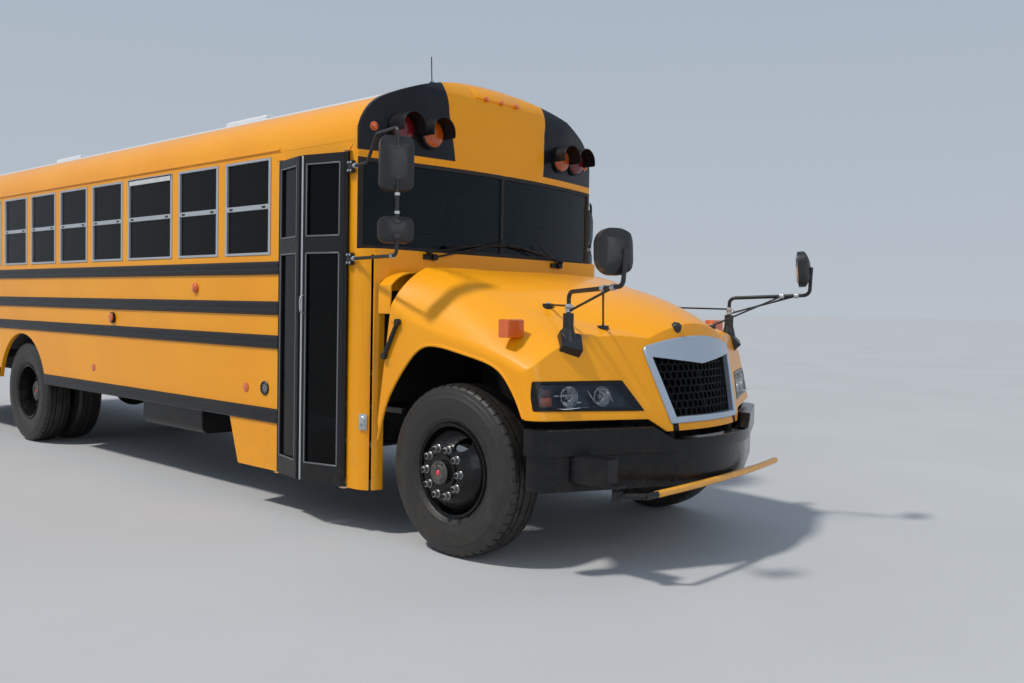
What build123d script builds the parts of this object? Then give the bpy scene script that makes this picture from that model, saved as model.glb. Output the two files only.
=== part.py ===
"""School bus with a bonnet, built as separate pieces at real size, in millimetres.

X points forward, Y to the bus's left and Z up. The origin lies on the ground, midway
between the crossing gate's front and the rear bumper. Places along the bus are given
from the front axle and turned into X by along().
"""
import math
import os

from build123d import *

# Overall sizes
overall_length = 11400.0
front_overhang = 1240.0
wheelbase = 6400.0
half_width = 1219.0
eaves_z = 2573.0
roof_top_z = 3110.0
eaves_radius = 340.0
wall = 40.0
skirt_bottom = 642.0
low_panel_bottom = 297.0
low_panel_length = 563.0
floor_top = 1000.0
floor_thickness = 50.0
front_axle_x = overall_length / 2 - front_overhang
bumper_depth = 110.0
body_rear = -(overall_length - front_overhang) + bumper_depth
rear_axle = -wheelbase
seat_gap = 0.3
run_gap = 6.0

# Side windows, counted from the front
window_count = 11
window_pitch = 710.0
window_width = 606.0
window_sill_z = 1851.0
window_head_z = 2547.0
first_window = -1829.0
emergency_windows = (2, 7)
emergency_extra = 166.0

# Entry door and driver's window, which face each other across the bus
door_front = -929.0
door_width = 746.0
door_top = 2505.0
door_bottom = low_panel_bottom + 12.0
leaf_thickness = 36.0
leaf_ajar_deg = 13.0
driver_window_front = -1010.0
driver_window_rear = -1640.0

# Wheels
tyre_radius = 522.0
tyre_width = 279.0
rim_radius = 286.0
track_face = 1181.0
dual_gap = 45.0
front_offset = 176.0
disc_steel = 12.0
disc_flat = 168.0
hand_holes = 2
first_hand_hole = 55.0
hand_hole_circle = 206.0
hand_hole_radius = 38.0
wheel_nut_count = 10
nut_circle = 143.0
nut_radius = 16.0
nut_length = 36.0
hub_pilot_radius = 108.0
front_cap_radius = 66.0
rear_hub_radius = 96.0
rear_arch_radius = 612.0
kingpin_y = 880.0

# Front end: plan of the nose at plan_z, leaning back as it rises
nose_x = 1060.0
nose_arc_radius = 1393.0
nose_arc_half = 540.0
nose_half_width = 1190.0
nose_corner = 110.0
nose_plan_z = 950.0
nose_lean = 0.25
hood_skin = 15.0
hood_hinge_x = 1100.0
hood_hinge_z = 735.0
hood_arm_x = 1025.0
hood_arm_y = 340.0
hood_arm_width = 50.0
hood_pin = 8.0
pin_clearance = 0.05

# Windshield and cowl
cowl_front = -690.0
cowl_corner = 150.0
windshield_sill_z = 1882.0
windshield_radius = 4970.0
cap_seam = -870.0
brow_z = 2464.0


def along(x):
    """X in the bus's frame of a place measured from the front axle."""
    return front_axle_x + x


def block(x_range, y_range, z_range):
    """Box between three pairs of limits, with its X limits measured from the front axle."""
    sizes = [high - low for low, high in (x_range, y_range, z_range)]
    centre = [(high + low) / 2 for low, high in (x_range, y_range, z_range)]
    return Pos(along(centre[0]), centre[1], centre[2]) * Box(*sizes)


def flat(edges):
    """Face inside a closed run of edges."""
    return make_face(Wire(edges))


def polygon(points):
    """Closed run of straight edges through points of the local plane."""
    return Wire.make_polygon([Vector(*p) for p in points], close=True)


def side_plate(outline, y_low, y_high):
    """Outline in (x from the front axle, z), extruded from y_low to y_high."""
    plane = Plane(origin=(along(0), y_high, 0), x_dir=(1, 0, 0), z_dir=(0, -1, 0))
    return extrude(plane * outline, y_high - y_low)


def front_plate(outline, x_low, x_high):
    """Outline in (y, z), extruded from x_low to x_high."""
    plane = Plane(origin=(along(x_low), 0, 0), x_dir=(0, 1, 0), z_dir=(1, 0, 0))
    return extrude(plane * outline, x_high - x_low)


def plan_plate(outline, z_low, z_high, lean=0.0):
    """Outline in (x from the front axle, y), extruded upwards, leaning back by lean per unit."""
    rise = z_high - z_low
    base = Pos(along(0), 0, z_low) * outline
    slope = math.hypot(lean, 1.0)
    return extrude(base, rise * slope, dir=(-lean, 0, 1))


def face_of(points):
    """Flat polygon from points of its plane."""
    return make_face(polygon(points))


def rectangle_between(u_range, v_range):
    """Rectangle between two pairs of limits in its plane."""
    return face_of([(u_range[0], v_range[0]), (u_range[1], v_range[0]),
                    (u_range[1], v_range[1]), (u_range[0], v_range[1])])


def other_side(shape):
    """The same piece on the bus's other side."""
    return mirror(shape, about=Plane.XZ)


def both_sides(shape):
    """A piece and its mirror image."""
    return [shape, other_side(shape)]


def bar(start, end, radius):
    """Round bar between two points whose X is measured from the front axle."""
    a = Vector(along(start[0]), start[1], start[2])
    b = Vector(along(end[0]), end[1], end[2])
    return extrude(Plane(origin=a, z_dir=(b - a).normalized()) * Circle(radius), (b - a).length)


def bent_bar(points, radius, bend):
    """Round bar along straight runs joined by arcs of one bend radius."""
    path = FilletPolyline(*[(along(x), y, z) for x, y, z in points], radius=bend)
    start = Plane(origin=path @ 0, z_dir=path % 0)
    return sweep(start * Circle(radius), path=path)


def axle_ring(profile, y_centre, x_centre):
    """Profile in (radius, offset outwards) turned about a wheel's axis."""
    plane = Plane(origin=(along(x_centre), y_centre, tyre_radius), x_dir=(0, 0, 1), z_dir=(-1, 0, 0))
    sketch = plane * profile
    axis = Axis((along(x_centre), y_centre, tyre_radius), (0, 1, 0))
    return revolve(sketch, axis=axis)


def roof_section(inset):
    """Roof outline in (y, z) above the eaves, moved inwards by inset."""
    reach = half_width - eaves_radius
    rise = roof_top_z - eaves_z
    crown = (reach ** 2 + rise ** 2 - eaves_radius ** 2) / (2 * (rise - eaves_radius))
    crown_z = roof_top_z - crown
    turn = math.atan2(reach, eaves_z - crown_z)
    small = eaves_radius - inset
    large = crown - inset
    join = (large * math.sin(turn), crown_z + large * math.cos(turn))
    half = math.pi / 4 + turn / 2
    middle = (reach + small * math.sin(half), eaves_z + small * math.cos(half))
    side = (half_width - inset, eaves_z)
    return flat([
        Line((-side[0], side[1]), side),
        ThreePointArc(side, middle, join),
        ThreePointArc(join, (0, roof_top_z - inset), (-join[0], join[1])),
        ThreePointArc((-join[0], join[1]), (-middle[0], middle[1]), (-side[0], side[1])),
    ])


def front_drop(y, radius=windshield_radius):
    """How far the curved front falls back at y."""
    return radius - math.sqrt(radius ** 2 - y ** 2)


def curved_front(inset, front=cowl_front, back=-1300.0):
    """Plan of the body's curved front at the windshield, moved inwards by inset."""
    edge = half_width - inset
    drop = front_drop(edge, windshield_radius - inset)
    nose = front - inset
    return flat([
        ThreePointArc((nose - drop, -edge), (nose, 0), (nose - drop, edge)),
        Line((nose - drop, edge), (back, edge)),
        Line((back, edge), (back, -edge)),
        Line((back, -edge), (nose - drop, -edge)),
    ])


windshield_corner = cowl_front - front_drop(half_width) - 2.0


def window_spans():
    """Front and rear limits of each side window, from front to back."""
    spans = []
    front = first_window
    for index in range(window_count):
        width = window_width + (emergency_extra if index in emergency_windows else 0.0)
        spans.append((front - width, front))
        front -= width + window_pitch - window_width
    return spans


def nose_plan(inset, back=-700.0, nose=nose_x, radius=nose_arc_radius, side=nose_half_width,
              corner=nose_corner):
    """Plan of the rounded nose, moved inwards by inset."""
    arc = radius - inset
    half = nose_arc_half * arc / radius
    drop = arc - math.sqrt(arc ** 2 - half ** 2)
    slope = half / math.sqrt(arc ** 2 - half ** 2)
    tip = nose - inset
    edge = side - inset
    shoulder_x = tip - drop - slope * (edge - half)
    face = flat([
        ThreePointArc((tip - drop, -half), (tip, 0), (tip - drop, half)),
        Line((tip - drop, half), (shoulder_x, edge)),
        Line((shoulder_x, edge), (back, edge)),
        Line((back, edge), (back, -edge)),
        Line((back, -edge), (shoulder_x, -edge)),
        Line((shoulder_x, -edge), (tip - drop, -half)),
    ])
    shoulders = [v for v in face.vertices() if abs(v.X - shoulder_x) < 0.01]
    return fillet(shoulders, max(corner - inset, 5.0))


def nose_prism(inset, z_low=400.0, z_high=1900.0):
    """Solid behind the nose's leaning front face."""
    shift = nose_lean * (nose_plan_z - z_low)
    return plan_plate(Pos(shift, 0) * nose_plan(inset), z_low, z_high, nose_lean)


# Sections of the hood: x, z of the crown, shoulder y and z, fender edge y and z
hood_sections = (
    (-690.0, 1772.0, 990.0, 1752.0, 1190.0, 1640.0),
    (-50.0, 1722.0, 900.0, 1622.0, 1190.0, 1330.0),
    (400.0, 1640.0, 760.0, 1475.0, 1190.0, 1225.0),
    (700.0, 1545.0, 560.0, 1400.0, 1190.0, 1115.0),
    (1150.0, 1290.0, 330.0, 1200.0, 1190.0, 960.0),
)
hood_low = 300.0
fender_round = 90.0


def hood_section(x, crown_z, shoulder_y, shoulder_z, edge_y, edge_z, inset):
    """Face across the hood at x: floor, fender sides, sloping shoulders and crown."""
    edge = (edge_y - inset, edge_z - inset * 0.3)
    shoulder = (shoulder_y - inset * 0.5, shoulder_z - inset)
    bulge = 0.10
    run = (edge[0] - shoulder[0], edge[1] - shoulder[1])
    middle = ((edge[0] + shoulder[0]) / 2 - bulge * run[1], (edge[1] + shoulder[1]) / 2 + bulge * run[0])
    plane = Plane(origin=(along(x), 0, 0), x_dir=(0, 1, 0), z_dir=(1, 0, 0))
    low = hood_low
    return plane * flat([
        Line((-edge[0], low), (edge[0], low)),
        Line((edge[0], low), edge),
        ThreePointArc(edge, middle, shoulder),
        ThreePointArc(shoulder, (0, crown_z - inset), (-shoulder[0], shoulder[1])),
        ThreePointArc((-shoulder[0], shoulder[1]), (-middle[0], middle[1]), (-edge[0], edge[1])),
        Line((-edge[0], edge[1]), (-edge[0], low)),
    ])


def hood_loft(inset):
    """Closed body of the hood with rounded fender edges, moved inwards by inset."""
    body = loft([hood_section(*row, inset) for row in hood_sections])
    side = hood_sections[0][4] - inset

    def along_fender(edge):
        ends = (edge @ 0, edge @ 1)
        return abs(ends[0].X - ends[1].X) > 1000 and all(
            abs(abs(end.Y) - side) < 1 and end.Z > 600 for end in ends)

    return fillet([edge for edge in body.edges() if along_fender(edge)], fender_round - inset)


# Front wheel arch in the hood's side, from the front axle
hood_foot = (-668.0, 637.0)
arch_rear = (-640.0, 640.0)
arch_front = (600.0, 888.0)
hood_rear_top = (-494.0, 1775.0)
nose_lip_z = 885.0
nose_lip_half = 520.0
nose_v_half = 410.0
nose_v_z = 800.0

# Grille: half widths and heights of the surround and of its opening
surround_top_half = 490.0
surround_top_z = 1289.0
surround_crown_z = 1355.0
surround_bottom_half = 378.0
surround_bottom_z = 845.0
grille_top_half = 432.0
grille_top_z = 1232.0
grille_v_z = 1185.0
grille_bottom_half = 335.0
grille_bottom_z = 880.0
surround_proud = 14.0
mesh_pitch = 98.0
mesh_bar = 13.0

# Headlamp corners in (y, z)
lamp_outer_y = 1176.0
lamp_top_z = 1098.0
lamp_outer_low_z = 940.0
lamp_inner_top_y = 645.0
lamp_inner_low_y = 540.0
lamp_inner_low_z = 926.0
lamp_back = 640.0


def arch_cut():
    """What the hood's sides leave out: behind its rear edge, the wheel arch and below it."""
    foot = -400.0
    return flat([
        Line((-1500, foot), (-1500, 2000)),
        Line((-1500, 2000), (hood_rear_top[0] + 20, 2000)),
        Line((hood_rear_top[0] + 20, 2000), hood_rear_top),
        Line(hood_rear_top, hood_foot),
        Line(hood_foot, arch_rear),
        ThreePointArc(arch_rear, (-494, 1001), (-300, 1222)),
        ThreePointArc((-300, 1222), (-190, 1272), (-60, 1262)),
        Line((-60, 1262), (290, 1196)),
        ThreePointArc((290, 1196), (435, 1134), (530, 1020)),
        Line((530, 1020), arch_front),
        Line(arch_front, (arch_front[0] + 5, foot)),
        Line((arch_front[0] + 5, foot), (-1500, foot)),
    ])


def surround_outline(grow=0.0):
    """Outer edge of the grille surround in (y, z)."""
    top = (surround_top_half + grow, surround_top_z + grow * 0.6)
    low = (surround_bottom_half + grow, surround_bottom_z - grow)
    return flat([
        ThreePointArc((-top[0], top[1]), (0, surround_crown_z + grow), top),
        Line(top, low),
        Line(low, (-low[0], low[1])),
        Line((-low[0], low[1]), (-top[0], top[1])),
    ])


def grille_outline(grow=0.0):
    """Opening of the grille in (y, z), with its top edge dipping in a V."""
    return face_of([
        (-grille_top_half - grow, grille_top_z + grow), (-grille_bottom_half - grow, grille_bottom_z - grow),
        (grille_bottom_half + grow, grille_bottom_z - grow), (grille_top_half + grow, grille_top_z + grow),
        (0, grille_v_z + grow),
    ])


def headlamp_outline(grow=0.0):
    """Right headlamp in (y, z)."""
    return face_of([
        (-lamp_outer_y - grow, lamp_outer_low_z - grow), (-lamp_inner_low_y + grow, lamp_inner_low_z - grow),
        (-lamp_inner_top_y + grow, lamp_top_z + grow), (-lamp_outer_y - grow, lamp_top_z + grow),
    ])


def nose_skin(outer, inner):
    """Layer between two offsets of the nose's front face, positive inwards."""
    return nose_prism(outer) - nose_prism(inner)


def nose_layer(outline, outer, inner):
    """Part of the nose's layer inside an outline in (y, z)."""
    return front_plate(outline, 300.0, 1300.0) & nose_skin(outer, inner)


def hood():
    """Hood with its fenders, open below and behind, with arches and lamp openings."""
    shell = (hood_loft(0.0) & nose_prism(0.0)) - (hood_loft(hood_skin) & nose_prism(hood_skin))
    shell -= side_plate(arch_cut(), -half_width - 81.0, half_width + 81.0)
    lip = face_of([
        (-1300, nose_lip_z), (-nose_lip_half, nose_lip_z - 10), (-nose_v_half, nose_v_z),
        (nose_v_half, nose_v_z), (nose_lip_half, nose_lip_z - 10), (1300, nose_lip_z), (1300, 0), (-1300, 0),
    ])
    shell -= front_plate(lip, arch_front[0] - 40, 1400.0)
    shell -= front_plate(surround_outline(-18.0), 500.0, 1400.0)
    for lamp in both_sides(front_plate(headlamp_outline(seat_gap), lamp_back - seat_gap, 1400.0)):
        shell -= lamp
    lip_z = nose_v_z + 6.0
    arm_y = (hood_arm_y - hood_arm_width / 2, hood_arm_y + hood_arm_width / 2)
    arm = side_plate(face_of([
        (hood_arm_x - 35, hood_hinge_z - 14), (hood_hinge_x + 14, hood_hinge_z - 14),
        (hood_hinge_x + 14, hood_hinge_z + 14), (hood_arm_x, hood_hinge_z + 14),
        (hood_arm_x, surround_bottom_z + 12), (hood_arm_x - 35, surround_bottom_z + 12),
    ]), *arm_y)
    foot = block((hood_arm_x - 10, hood_hinge_x), arm_y, (lip_z, surround_bottom_z + 12))
    arm += foot & nose_prism(hood_skin - 1.0)
    arm -= bar((hood_hinge_x, hood_arm_y - 50, hood_hinge_z), (hood_hinge_x, hood_arm_y + 50, hood_hinge_z),
               hood_pin + pin_clearance)
    return shell + both_sides(arm)


def grille_surround():
    """Frame round the grille: a proud rim on the hood and a lip through its opening."""
    rim = nose_layer(surround_outline(), -surround_proud, -seat_gap)
    lip = nose_layer(surround_outline(-18.0 - seat_gap), -surround_proud, hood_skin + 10.0)
    return rim + lip - front_plate(grille_outline(), 300.0, 1400.0)


def grille_mesh():
    """Honeycomb plate behind the opening."""
    plate = nose_layer(grille_outline(12.0), hood_skin + 10.0 + seat_gap, hood_skin + 30.0)
    cell_radius = mesh_pitch / math.sqrt(3.0) - mesh_bar / 2
    row_step = mesh_pitch * math.sqrt(3.0) / 2
    rows = int((grille_top_z - grille_bottom_z) / row_step) + 2
    columns = int(grille_top_half / mesh_pitch) + 1
    cells = []
    for row in range(rows):
        shift = mesh_pitch / 2 if row % 2 else 0.0
        for column in range(-columns - 1, columns + 1):
            centre = (column * mesh_pitch + shift, grille_bottom_z + row * row_step)
            cells.append(Pos(*centre) * RegularPolygon(cell_radius, 6, rotation=30))
    holes = [front_plate(cell & grille_outline(-1.0), 300.0, 1400.0) for cell in cells
             if (cell & grille_outline(-1.0)) and (cell & grille_outline(-1.0)).area > 400.0]
    return plate - holes


def headlamps():
    """Lamp bodies that fill the hood's two lamp openings."""
    lamp = front_plate(headlamp_outline(), lamp_back, 1300.0) & nose_skin(-3.0, 90.0)
    return both_sides(lamp)


# Frame, axles and engine
rail_y = 432.0
rail_width = 80.0
rail_low = 600.0
rail_high = 850.0
rail_front = 760.0
rail_steel = 10.0
cross_members = (640.0, -1300.0, -3200.0, -4900.0, -7900.0, -9700.0)
spring_width = 90.0
tow_eye_radius = 22.0
tow_eye_z = 520.0
tow_plate = 24.0
spring_seat_z = 482.0
shaft_z = 640.0


def frame_rails():
    """Two channels with cross members, open towards the middle."""
    length = (body_rear + 60.0, rail_front)
    channel = block(length, (rail_y - rail_width / 2, rail_y + rail_width / 2), (rail_low, rail_high))
    channel -= block((length[0] - 1, length[1] + 1),
                     (rail_y - rail_width, rail_y + rail_width / 2 - rail_steel),
                     (rail_low + rail_steel, rail_high - rail_steel))
    frame = channel + other_side(channel)
    for x in cross_members:
        reach = rail_y + rail_width / 2 - rail_steel
        frame += block((x - 60, x + 60), (-reach, reach), (rail_high - 120, rail_high - 20))
    for side in (-1, 1):
        eye = block((body_rear - 40, body_rear + 200), (side * rail_y - tow_plate / 2,
                                                        side * rail_y + tow_plate / 2),
                    (tow_eye_z - 50, rail_low + 1))
        frame += eye
        frame -= bar((body_rear, side * rail_y - 100, tow_eye_z), (body_rear, side * rail_y + 100, tow_eye_z),
                     tow_eye_radius)
    return frame


radiator_x = (690.0, 760.0)
radiator_half = 370.0
radiator_z = (rail_high + 15.0, 1285.0)


def engine_block():
    """Engine, gearbox and radiator as one plain block between the rails."""
    clear = rail_y - rail_width / 2 - 2 * run_gap
    engine = block((-560, 480), (-clear + 60, clear - 60), (rail_low + 120, 1380))
    gearbox = block((-1100, -560), (-260, 260), (shaft_z - 90, rail_high))
    web = rail_y + rail_width / 2 - rail_steel - seat_gap
    mounts = block((-80, 80), (-web, web), (rail_low + 130, rail_low + 190))
    radiator = block(radiator_x, (-radiator_half, radiator_half), radiator_z)
    shroud = block((479, radiator_x[0] + 1), (-radiator_half + 110, radiator_half - 110),
                   (radiator_z[0] + 40, radiator_z[1] - 40))
    return engine + gearbox + mounts + radiator + shroud


def front_axle():
    """Dropped beam between the kingpins."""
    half = kingpin_y - 62.0
    drop = 110.0
    beam = face_of([
        (-half, tyre_radius - 45), (-rail_y, tyre_radius - 45 - drop), (rail_y, tyre_radius - 45 - drop),
        (half, tyre_radius - 45), (half, tyre_radius + 45), (rail_y - 20, tyre_radius + 45 - drop),
        (-rail_y + 20, tyre_radius + 45 - drop), (-half, tyre_radius + 45),
    ])
    axle = front_plate(beam, -45, 45)
    for side in (-1, 1):
        y_range = (side * rail_y - spring_width / 2, side * rail_y + spring_width / 2)
        axle += block((-70, 70), y_range, (tyre_radius - 100, spring_seat_z))
    for side in (-1, 1):
        axle += Pos(along(0), side * kingpin_y, tyre_radius) * Cylinder(28, 250)
        for z in (tyre_radius - 95, tyre_radius + 95):
            y_range = sorted((side * (half - 40), side * (kingpin_y + 20)))
            axle += block((-45, 45), y_range, (z - 18, z + 18))
        y_range = sorted((side * (half - 60), side * half))
        axle += block((-45, 45), y_range, (tyre_radius - 113, tyre_radius + 113))
    return axle


def knuckle(side):
    """Steered knuckle round the kingpin, with the stub shaft that carries the wheel."""
    boss = Pos(along(0), side * kingpin_y, tyre_radius) * Cylinder(52, 140)
    boss -= Pos(along(0), side * kingpin_y, tyre_radius) * Cylinder(28.5, 200)
    centre = (0, side * (kingpin_y + 51), tyre_radius)
    stub = bar(centre, (0, side * (track_face - 60), tyre_radius), 38)
    flange = bar((0, side * (kingpin_y + 51), tyre_radius), (0, side * (kingpin_y + 70), tyre_radius), 90)
    arm = block((-230, -20), sorted((side * (kingpin_y - 12), side * (kingpin_y + 12))),
                (tyre_radius - 66, tyre_radius - 36))
    arm -= Pos(along(0), side * kingpin_y, tyre_radius) * Cylinder(50, 200)
    return boss + stub + flange + arm


def tyre(side, face_y):
    """Tyre whose outer wall lies at face_y, turned from its section."""
    half = tyre_width / 2
    top = tyre_radius
    section = flat([
        Line((rim_radius, -half + 38), (rim_radius + 20, -half + 22)),
        ThreePointArc((rim_radius + 20, -half + 22), (rim_radius + 110, -half), (top - 52, -half + 14)),
        ThreePointArc((top - 52, -half + 14), (top - 22, -half + 22), (top - 7, -half + 46)),
        ThreePointArc((top - 7, -half + 46), (top, 0), (top - 7, half - 46)),
        ThreePointArc((top - 7, half - 46), (top - 22, half - 22), (top - 52, half - 14)),
        ThreePointArc((top - 52, half - 14), (rim_radius + 110, half), (rim_radius + 20, half - 22)),
        Line((rim_radius + 20, half - 22), (rim_radius, half - 38)),
        Line((rim_radius, half - 38), (rim_radius, -half + 38)),
    ])
    return section, side * (face_y - half)


def tyre_at(side, face_y, x):
    """One tyre standing at x."""
    section, y = tyre(side, face_y)
    return axle_ring(section, y, x)


def wheel_profile(offset):
    """Half section of rim and coned disc: radius, then distance towards the bulge, whose top is at offset."""
    half = tyre_width / 2 - 30
    inner = rim_radius - seat_gap
    return face_of([
        (inner, half), (inner, -half), (inner - 22, -half), (inner - 28, -half + 34), (inner - 40, -20),
        (inner - 44, 40), (disc_flat + 30, offset - 62), (disc_flat - 4, offset - disc_steel),
        (90, offset - disc_steel), (90, offset), (disc_flat, offset), (disc_flat + 10, offset - 7),
        (disc_flat + 40, offset - 44), (inner - 30, 64), (inner - 24, half - 22), (inner - 20, half),
    ])


def wheel_disc(side, middle, x, lean, offset):
    """One rim with its disc, which bulges outwards for lean 1 and inwards for lean -1."""
    profile = wheel_profile(offset)
    if side * lean < 0:
        profile = mirror(profile, about=Plane.XZ)
    rim = axle_ring(profile, side * middle, x)
    for index in range(hand_holes):
        angle = math.radians(first_hand_hole + index * 360 / hand_holes)
        dx = hand_hole_circle * math.cos(angle)
        dz = hand_hole_circle * math.sin(angle)
        start = (x + dx, side * (middle + lean * (offset - 110)), tyre_radius + dz)
        end = (x + dx, side * (middle + lean * (offset + 20)), tyre_radius + dz)
        rim -= bar(start, end, hand_hole_radius)
    return rim


def wheel_nuts(side, face, x):
    """Ring of nuts standing on a disc's outer face."""
    nuts = []
    for index in range(wheel_nut_count):
        angle = math.radians(index * 360 / wheel_nut_count)
        dx = nut_circle * math.cos(angle)
        dz = nut_circle * math.sin(angle)
        root = (x + dx, side * (face - 2), tyre_radius + dz)
        tip = (x + dx, side * (face + nut_length), tyre_radius + dz)
        nuts.append(bar(root, tip, nut_radius))
    return nuts


def front_wheel(side):
    """Front wheel with its nuts, and its hub bored for the stub shaft."""
    middle = track_face - tyre_width / 2
    face = middle + front_offset
    wheel = wheel_disc(side, middle, 0.0, 1, front_offset)
    for nut in wheel_nuts(side, face, 0.0):
        wheel += nut
    for radius, reach in ((hub_pilot_radius, 12.0), (front_cap_radius, 34.0)):
        wheel += bar((0, side * (face - disc_steel - 4), tyre_radius),
                     (0, side * (face + reach), tyre_radius),
                     radius)
    wheel += bar((0, side * (kingpin_y + 76), tyre_radius), (0, side * (face - 10), tyre_radius), 84)
    return wheel - bar((0, side * (kingpin_y + 40), tyre_radius), (0, side * (track_face - 54), tyre_radius),
                       38.5)


def rear_wheels(side):
    """Twin rear wheels bolted disc to disc, round the axle's hub."""
    outer_middle = track_face - tyre_width / 2
    inner_middle = outer_middle - tyre_width - dual_gap
    meeting = (outer_middle + inner_middle) / 2
    offset = outer_middle - meeting
    pair = wheel_disc(side, outer_middle, rear_axle, -1, offset)
    pair += wheel_disc(side, inner_middle, rear_axle, 1, offset)
    pair += bar((rear_axle, side * (meeting - 6), tyre_radius),
                (rear_axle, side * (meeting + 6), tyre_radius),
                disc_flat - 2)
    face = meeting + disc_steel
    for nut in wheel_nuts(side, face, rear_axle):
        pair += nut
    for radius, reach in ((hub_pilot_radius, 60.0), (rear_hub_radius, 175.0)):
        pair += bar((rear_axle, side * (meeting - 60), tyre_radius),
                    (rear_axle, side * (face + reach), tyre_radius), radius)
    return pair - bar((rear_axle, side * 600, tyre_radius),
                      (rear_axle, side * (track_face - 150), tyre_radius),
                      60.5)


def rear_axle_housing():
    """Rear axle with its differential and the shaft from the gearbox."""
    ends = track_face - 155.0
    housing = bar((rear_axle, -ends, tyre_radius), (rear_axle, ends, tyre_radius), 60)
    bowl = Pos(along(rear_axle), 0, tyre_radius) * Sphere(215)
    bowl &= block((rear_axle - 190, rear_axle + 190), (-170, 170), (tyre_radius - 215, tyre_radius + 215))
    nose = bar((rear_axle, 0, tyre_radius), (rear_axle + 330, 0, tyre_radius + 20), 80)
    shaft = bar((rear_axle + 300, 0, tyre_radius + 18), (-1100.9, 0, shaft_z), 45)
    pads = []
    for side in (-1, 1):
        y = side * (rail_y + rail_width / 2 + 8 + spring_width / 2)
        pads.append(block((rear_axle - 70, rear_axle + 70), (y - spring_width / 2, y + spring_width / 2),
                          (tyre_radius, tyre_radius + 75)))
    return housing + bowl + nose + shaft + pads


def leaf_springs():
    """Four springs: arched leaves between hangers on the rails."""
    springs = []
    outside = rail_y + rail_width / 2
    rear_y = outside + 8 + spring_width / 2
    for centre, base, half, side_y, hanger_z, hanger_y in (
        (0.0, spring_seat_z, 620.0, rail_y, (540.0, rail_low - seat_gap), (rail_y - 35, rail_y + 35)),
        (rear_axle, tyre_radius + 75, 760.0, rear_y, (650.0, 720.0), (outside + seat_gap, rear_y + 30)),
    ):
        thick = 46.0
        rise = 60.0
        leaf = flat([
            ThreePointArc((centre - half, base + rise), (centre, base), (centre + half, base + rise)),
            Line((centre + half, base + rise), (centre + half, base + rise + 22)),
            ThreePointArc((centre + half, base + rise + 22), (centre, base + thick),
                          (centre - half, base + rise + 22)),
            Line((centre - half, base + rise + 22), (centre - half, base + rise)),
        ])
        for side in (-1, 1):
            y = side * side_y
            spring = side_plate(leaf, y - spring_width / 2, y + spring_width / 2)
            for x in (centre - half + 30, centre + half - 30):
                y_range = sorted((side * hanger_y[0], side * hanger_y[1]))
                spring += block((x - 28, x + 28), y_range, hanger_z)
            springs.append(spring)
    return springs


# Body details
rail_bands = ((1708.0, 1802.0), (1418.0, 1516.0), (1177.0, 1273.0), (642.0, 746.0))
rail_proud = 18.0
frame_proud = 6.0
frame_face = 26.0
glass_thickness = 6.0
stepwell_depth = 680.0
step_count = 3
stop_arm_x = -1760.0
stop_arm_z = 1610.0
stop_sign_across = 450.0
hatch_places = (-3600.0, -7400.0)
hatch_size = 620.0
hatch_rise = 30.0
hatch_clear = 9.0
rear_door_half = 480.0
rear_door_low = 1015.0
rear_door_high = 2520.0
rear_skin = 50.0
floor_sills = (-1240.0, -2000.0, -2750.0, -3500.0, -4250.0, -5000.0, -5650.0, -7150.0, -7900.0, -8650.0,
               -9400.0)
step_skin = 20.0
hatch_hinge_back = 18.0
hatch_hinge_up = 16.0
pivot_pin = 8.0
pivot_plate = 6.0
beyond_side = half_width + 81.0


def wall_outline(front, low_front):
    """Side wall in (x, z) with the lower panel behind the entry."""
    back = body_rear + rear_skin
    slant = 120.0
    low_back = low_front - low_panel_length
    return face_of([
        (back, skirt_bottom), (low_back - slant, skirt_bottom), (low_back, low_panel_bottom),
        (front, low_panel_bottom), (front, eaves_z), (back, eaves_z),
    ])


def wheel_arch(radius, x=rear_axle):
    """Rear wheel opening in (x, z), straight below the axle."""
    return Pos(x, tyre_radius) * Circle(radius) + Pos(x, tyre_radius / 2) * Rectangle(2 * radius, tyre_radius)


def cut_windows(wall_solid, y_low, y_high, spans):
    """Wall with its window openings cut."""
    for span in spans:
        wall_solid -= side_plate(rectangle_between(span, (window_sill_z, window_head_z)), y_low - 5,
                                 y_high + 5)
    return wall_solid


def side_wall_right():
    """Right wall from the entry door back, with the header over the door."""
    rear_of_door = door_front - door_width
    y_range = (-half_width, -half_width + wall)
    panel = side_plate(wall_outline(rear_of_door, rear_of_door), *y_range)
    panel += side_plate(rectangle_between((rear_of_door - 1, door_front), (door_top, eaves_z)), *y_range)
    panel = cut_windows(panel, *y_range, window_spans())
    panel -= side_plate(wheel_arch(rear_arch_radius), y_range[0] - 5, y_range[1] + 5)
    return panel + leaf_pivots(False)


def side_wall_left():
    """Left wall from the cowl back, with the driver's window."""
    y_range = (half_width - wall, half_width)
    panel = side_plate(wall_outline(door_front, door_front - door_width), *y_range)
    spans = window_spans() + [(driver_window_rear, driver_window_front)]
    panel = cut_windows(panel, *y_range, spans)
    return panel - side_plate(wheel_arch(rear_arch_radius), y_range[0] - 5, y_range[1] + 5)


def window_frame(span, y_outer, side):
    """Frame of one sash window with its middle rail."""
    x_range = (span[0] + seat_gap, span[1] - seat_gap)
    z_range = (window_sill_z + seat_gap, window_head_z - seat_gap)
    y_range = sorted((side * (y_outer + frame_proud), side * (y_outer - wall + 4)))
    ring = side_plate(rectangle_between(x_range, z_range), *y_range)
    middle = (z_range[0] + z_range[1]) / 2
    for low, high in ((z_range[0], middle), (middle, z_range[1])):
        hole = rectangle_between((x_range[0] + frame_face, x_range[1] - frame_face),
                                 (low + frame_face * 0.7, high - frame_face * 0.7))
        ring -= side_plate(hole, y_range[0] - 5, y_range[1] + 5)
    return ring


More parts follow.
